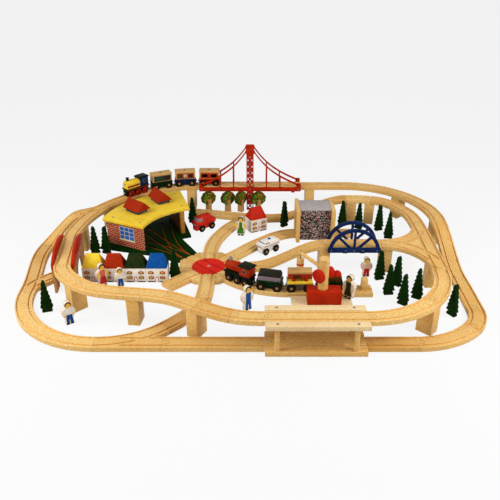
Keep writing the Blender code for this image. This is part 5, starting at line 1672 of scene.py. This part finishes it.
fir_groups = {
    "fir_by_the_ramp": [(464, 122, -60)],
    "fir_by_the_curve": [(-471, 138, 17)],
    "left_firs": [(-425, 430, 35), (-395, 430, -25), (-192, 297, 10), (-175, 636, 8)],
    "back_firs": [(103, 607, 40), (278, 611, 10), (324, 593, -30), (382, 579, 20), (400, 525, -10)],
    "grove_firs": [(329, 287, 15), (337, 214, 5), (366, 257, -50), (361, 168, -40), (401, 195, -35)],
}
solid_firs = {"fir_by_the_ramp": ["fir_tree_right"], "fir_by_the_curve": ["fir_tree_left"]}
for name, spots in fir_groups.items():
    grove = [(fir(spot), fir_green) for spot in spots]
    assemble(name, grove, stands_for=solid_firs.get(name, ()))

# Fruit trees: round crowns with a trunk, sawn from 14 mm board; the crown is printed with leaves and its
# fruit are small domed dots of thick red paint on both faces. The crown's sawn rim is coloured dark
# brown as painted shade.
CROWN_HALF = 21
CROWN_WIDER = 1.12
CROWN_AT = 45
TREE_THICK = 14
FRUIT = (2.3, 0.6)
TRUNK_FLECKS = (130.0, 600.0, 1.0)  # flecks about 8 mm long and 1.7 mm wide
leaf_tones = [(0.3, "#35621A"), (0.52, "#589A2C"), (0.84, "#24440E")]
leaves = mottled_print("leaf_print", 330.0, "#4A3410", leaf_tones, 0.6)
fruit_red = enamel("fruit_red_paint", "#CC2412", "#B01C0C", 0.4, 200.0)
trunk_tan = beech_finish("stained_trunk", "#D2A468", "#BE8C50", "#AC7A40", "UV", TRUNK_FLECKS)
# Painted shade: the crown's sawn rim is coloured the dark brown of an edge in shadow.
rim_shade = enamel("crown_rim_painted_shade", "#4A3610", "#36400E", 0.6, 200.0)
fruit_places = [(-11, 5), (-4, 12), (6, 9), (13, 2), (1, 1), (-7, -5), (8, -7), (-14, -3)]
fruit_places += [(-1, -12), (4, 17), (13, 12)]
turns = [2 * math.pi * k / 54 for k in range(54)]
edge = [CROWN_HALF + 0.7 * math.sin(9 * a) for a in turns]
crown_line = [(CROWN_WIDER * r * math.cos(a), CROWN_AT + r * math.sin(a)) for r, a in zip(edge, turns)]
trunk_line = [(-7.4, 0), (7.4, 0), (6.4, 14), (5.6, 36), (3, 42), (-3, 42), (-5.6, 36), (-6.4, 14)]
half = TREE_THICK / 2
fruit_spots = [(a, side * (half + 0.5), CROWN_AT + b) for side in (-1, 1) for a, b in fruit_places]
fruit_aims = [(0, side, 0) for side in (-1, 1) for spot in fruit_places]
fruit_values = {"Finish": fruit_red, "Radius": FRUIT[0] * MM, "Height": FRUIT[1] * MM}
tree_items = []
for x, y, heading in ((-131, 720, 38), (-70, 720, 40), (-29, 720, 55), (26, 718, 25)):
    # The core of the crown shows only at its rim, in dark brown painted shade.
    fruit_tree = [(upright(plate(crown_line, 0.6 - half, half - 0.6, 0)), rim_shade)]
    for side in (-1, 1):
        fruit_tree.append((upright(plate(crown_line, side * half - 0.6, side * half + 0.6, 0.5)), leaves))
    fruit_tree.append((grained(upright(plate(trunk_line, -half - 1.2, half + 1.2, 0.6)), 2), trunk_tan))
    fruit_tree.append((repeat(screw_tree, fruit_spots, fruit_aims, fruit_values), fruit_red))
    tree_items += [(moved(grid, (x, y), heading), finish) for grid, finish in fruit_tree]
assemble("fruit_trees", tree_items)

# Small people: figures sawn from 10 mm board, left bare on the sawn edges, with hair and clothes painted
# on both sides and a plain face, two eyes and a mouth, on the front.
FIGURE_PAINT = (0.5, 120.0)
PERSON_THICK = 10
PERSON_TALL = 60
HEAD_AT = 52
bare_edge = enamel("bare_sawn_birch", "#E8D8C4", "#DECAB2", 0.6, 120.0)
skin = enamel("skin_paint", "#EEC052", "#E4B246", *FIGURE_PAINT)
hair_dark = enamel("dark_hair_paint", "#1C1A10", "#2A2416", *FIGURE_PAINT)
hair_brown = enamel("brown_hair_paint", "#6A4A18", "#543A12", *FIGURE_PAINT)
shirt_white = enamel("white_shirt_paint", "#EDE6D6", "#E0D8C6", *FIGURE_PAINT)
shirt_pink = enamel("pale_pink_shirt_paint", "#E4BCA6", "#D8A890", *FIGURE_PAINT)
denim = enamel("denim_blue_paint", "#1E4E96", "#183F7C", *FIGURE_PAINT)
dress_green = enamel("dress_green_paint", "#3F7A22", "#32641A", *FIGURE_PAINT)
blouse = enamel("salmon_paint", "#D46A52", "#C45A44", *FIGURE_PAINT)
coat_olive = enamel("olive_coat_paint", "#3A3410", "#2C3A12", *FIGURE_PAINT)
skirt_red = enamel("skirt_red_paint", "#C62A22", "#B0221A", *FIGURE_PAINT)


def ellipse(x, z, wide, tall, start=0.0, end=360.0, count=20):
    """Points of an ellipse or, between two angles, of a part of one with both its ends."""
    turns = [math.radians(start + (end - start) * k / count) for k in range(count + (end - start < 360))]
    return [(x + wide * math.cos(a), z + tall * math.sin(a)) for a in turns]


def person(tall, spot, hair, top, lower, sleeve, skirt=False, bib=None):
    """A standing figure, its height and its spot: place across, depth, heading and what it stands on. Each
    painted mark is an outline, a paint and how far it stands proud."""
    if skirt:
        hem = [(7.5, 0), (8, 4), (11.4, 7), (12.2, 20)]
        legs = mirrored([(10.4, 7), (6.6, 27)])
    else:
        hem = [(9.4, 0), (9.6, 4), (9.0, 12), (9.6, 20)]
        legs = [(8.4, 4), (6.6, 27), (-6.6, 27), (-8.4, 4), (-1.4, 4), (0, 18), (1.4, 4)]
    arm = [(13.6, 23.6), (16.6, 32), (14.4, 39.4), (9.4, 43), (5, 44.6)]
    arm_paint = [(7.2, 42.4), (13.6, 39.2), (16.2, 32), (13.4, 26), (10, 28)]
    shoe = [(1.2, 0.4), (8.8, 0.4), (8.8, 3), (6.5, 5), (1.6, 5)]
    outline = mirrored(hem + arm + ellipse(0, HEAD_AT, 8, 8, -50, 90, 9)[:-1])
    marks = [(legs, lower, 0.3), (mirrored([(6.6, 26.4), (7.4, 42.4), (4, 44.4)]), top, 0.35)]
    for side in (-1, 1):
        marks.append(([(side * a, z) for a, z in arm_paint], sleeve, 0.4))
        marks.append((ellipse(side * 11.6, 25.6, 2.2, 2.2), skin, 0.45))
        marks.append(([(side * a, z) for a, z in shoe], hair_dark, 0.5))
    if bib:
        marks.append((mirrored([(4.6, 26), (4.6, 37), (3.6, 43.4)]), bib, 0.5))
    marks.append((ellipse(0, HEAD_AT, 7.9, 7.9), hair, 0.4))
    face_marks = [(ellipse(0, 49.6, 5.6, 6.2), skin, 0.6)]
    for side in (-1, 1):
        face_marks.append((ellipse(side * 1.9, 51.8, 0.7, 0.8, count=10), hair_dark, 0.75))
    face_marks.append((ellipse(0, 48.2, 1.5, 0.45, count=10), shutter_red, 0.75))
    half = PERSON_THICK / 2
    items = [(plate(outline, -half, half, 0.5), bare_edge)]
    for line, finish, lift in marks + face_marks:
        items.append((plate(line, half - 0.2, half + lift, 0), finish))
    for line, finish, lift in marks:
        items.append((plate(line, -half - lift, 0.2 - half, 0), finish))
    scale = tall / PERSON_TALL
    finished = []
    for grid, finish in items:
        grid.transform(Matrix.Diagonal((scale, scale, 1, 1)))
        finished.append((moved(upright(grid), (spot[0], spot[1], spot[3]), spot[2]), finish))
    return finished


people = person(62, (-368, 256, 44, 0), hair_dark, blouse, skirt_red, skin, skirt=True)
people += person(50, (-323, 255, 20, 0), hair_brown, shirt_white, denim, shirt_white)
people += person(58, (-406, 88, 36, 0), hair_brown, shirt_white, denim, shirt_white)
people += person(60, (-26, 545, -12, 0), hair_dark, shirt_white, dress_green, skin, True, dress_green)
people += person(64, (-7, 146, 42, 0), hair_dark, denim, denim, shirt_white)
people += person(54, (297, 304, 4, 0), hair_brown, shirt_pink, skirt_red, shirt_pink)
people += person(62, (236, 184, -46, 8), hair_dark, coat_olive, coat_olive, shirt_white, skirt=True)
assemble("small_people", people)
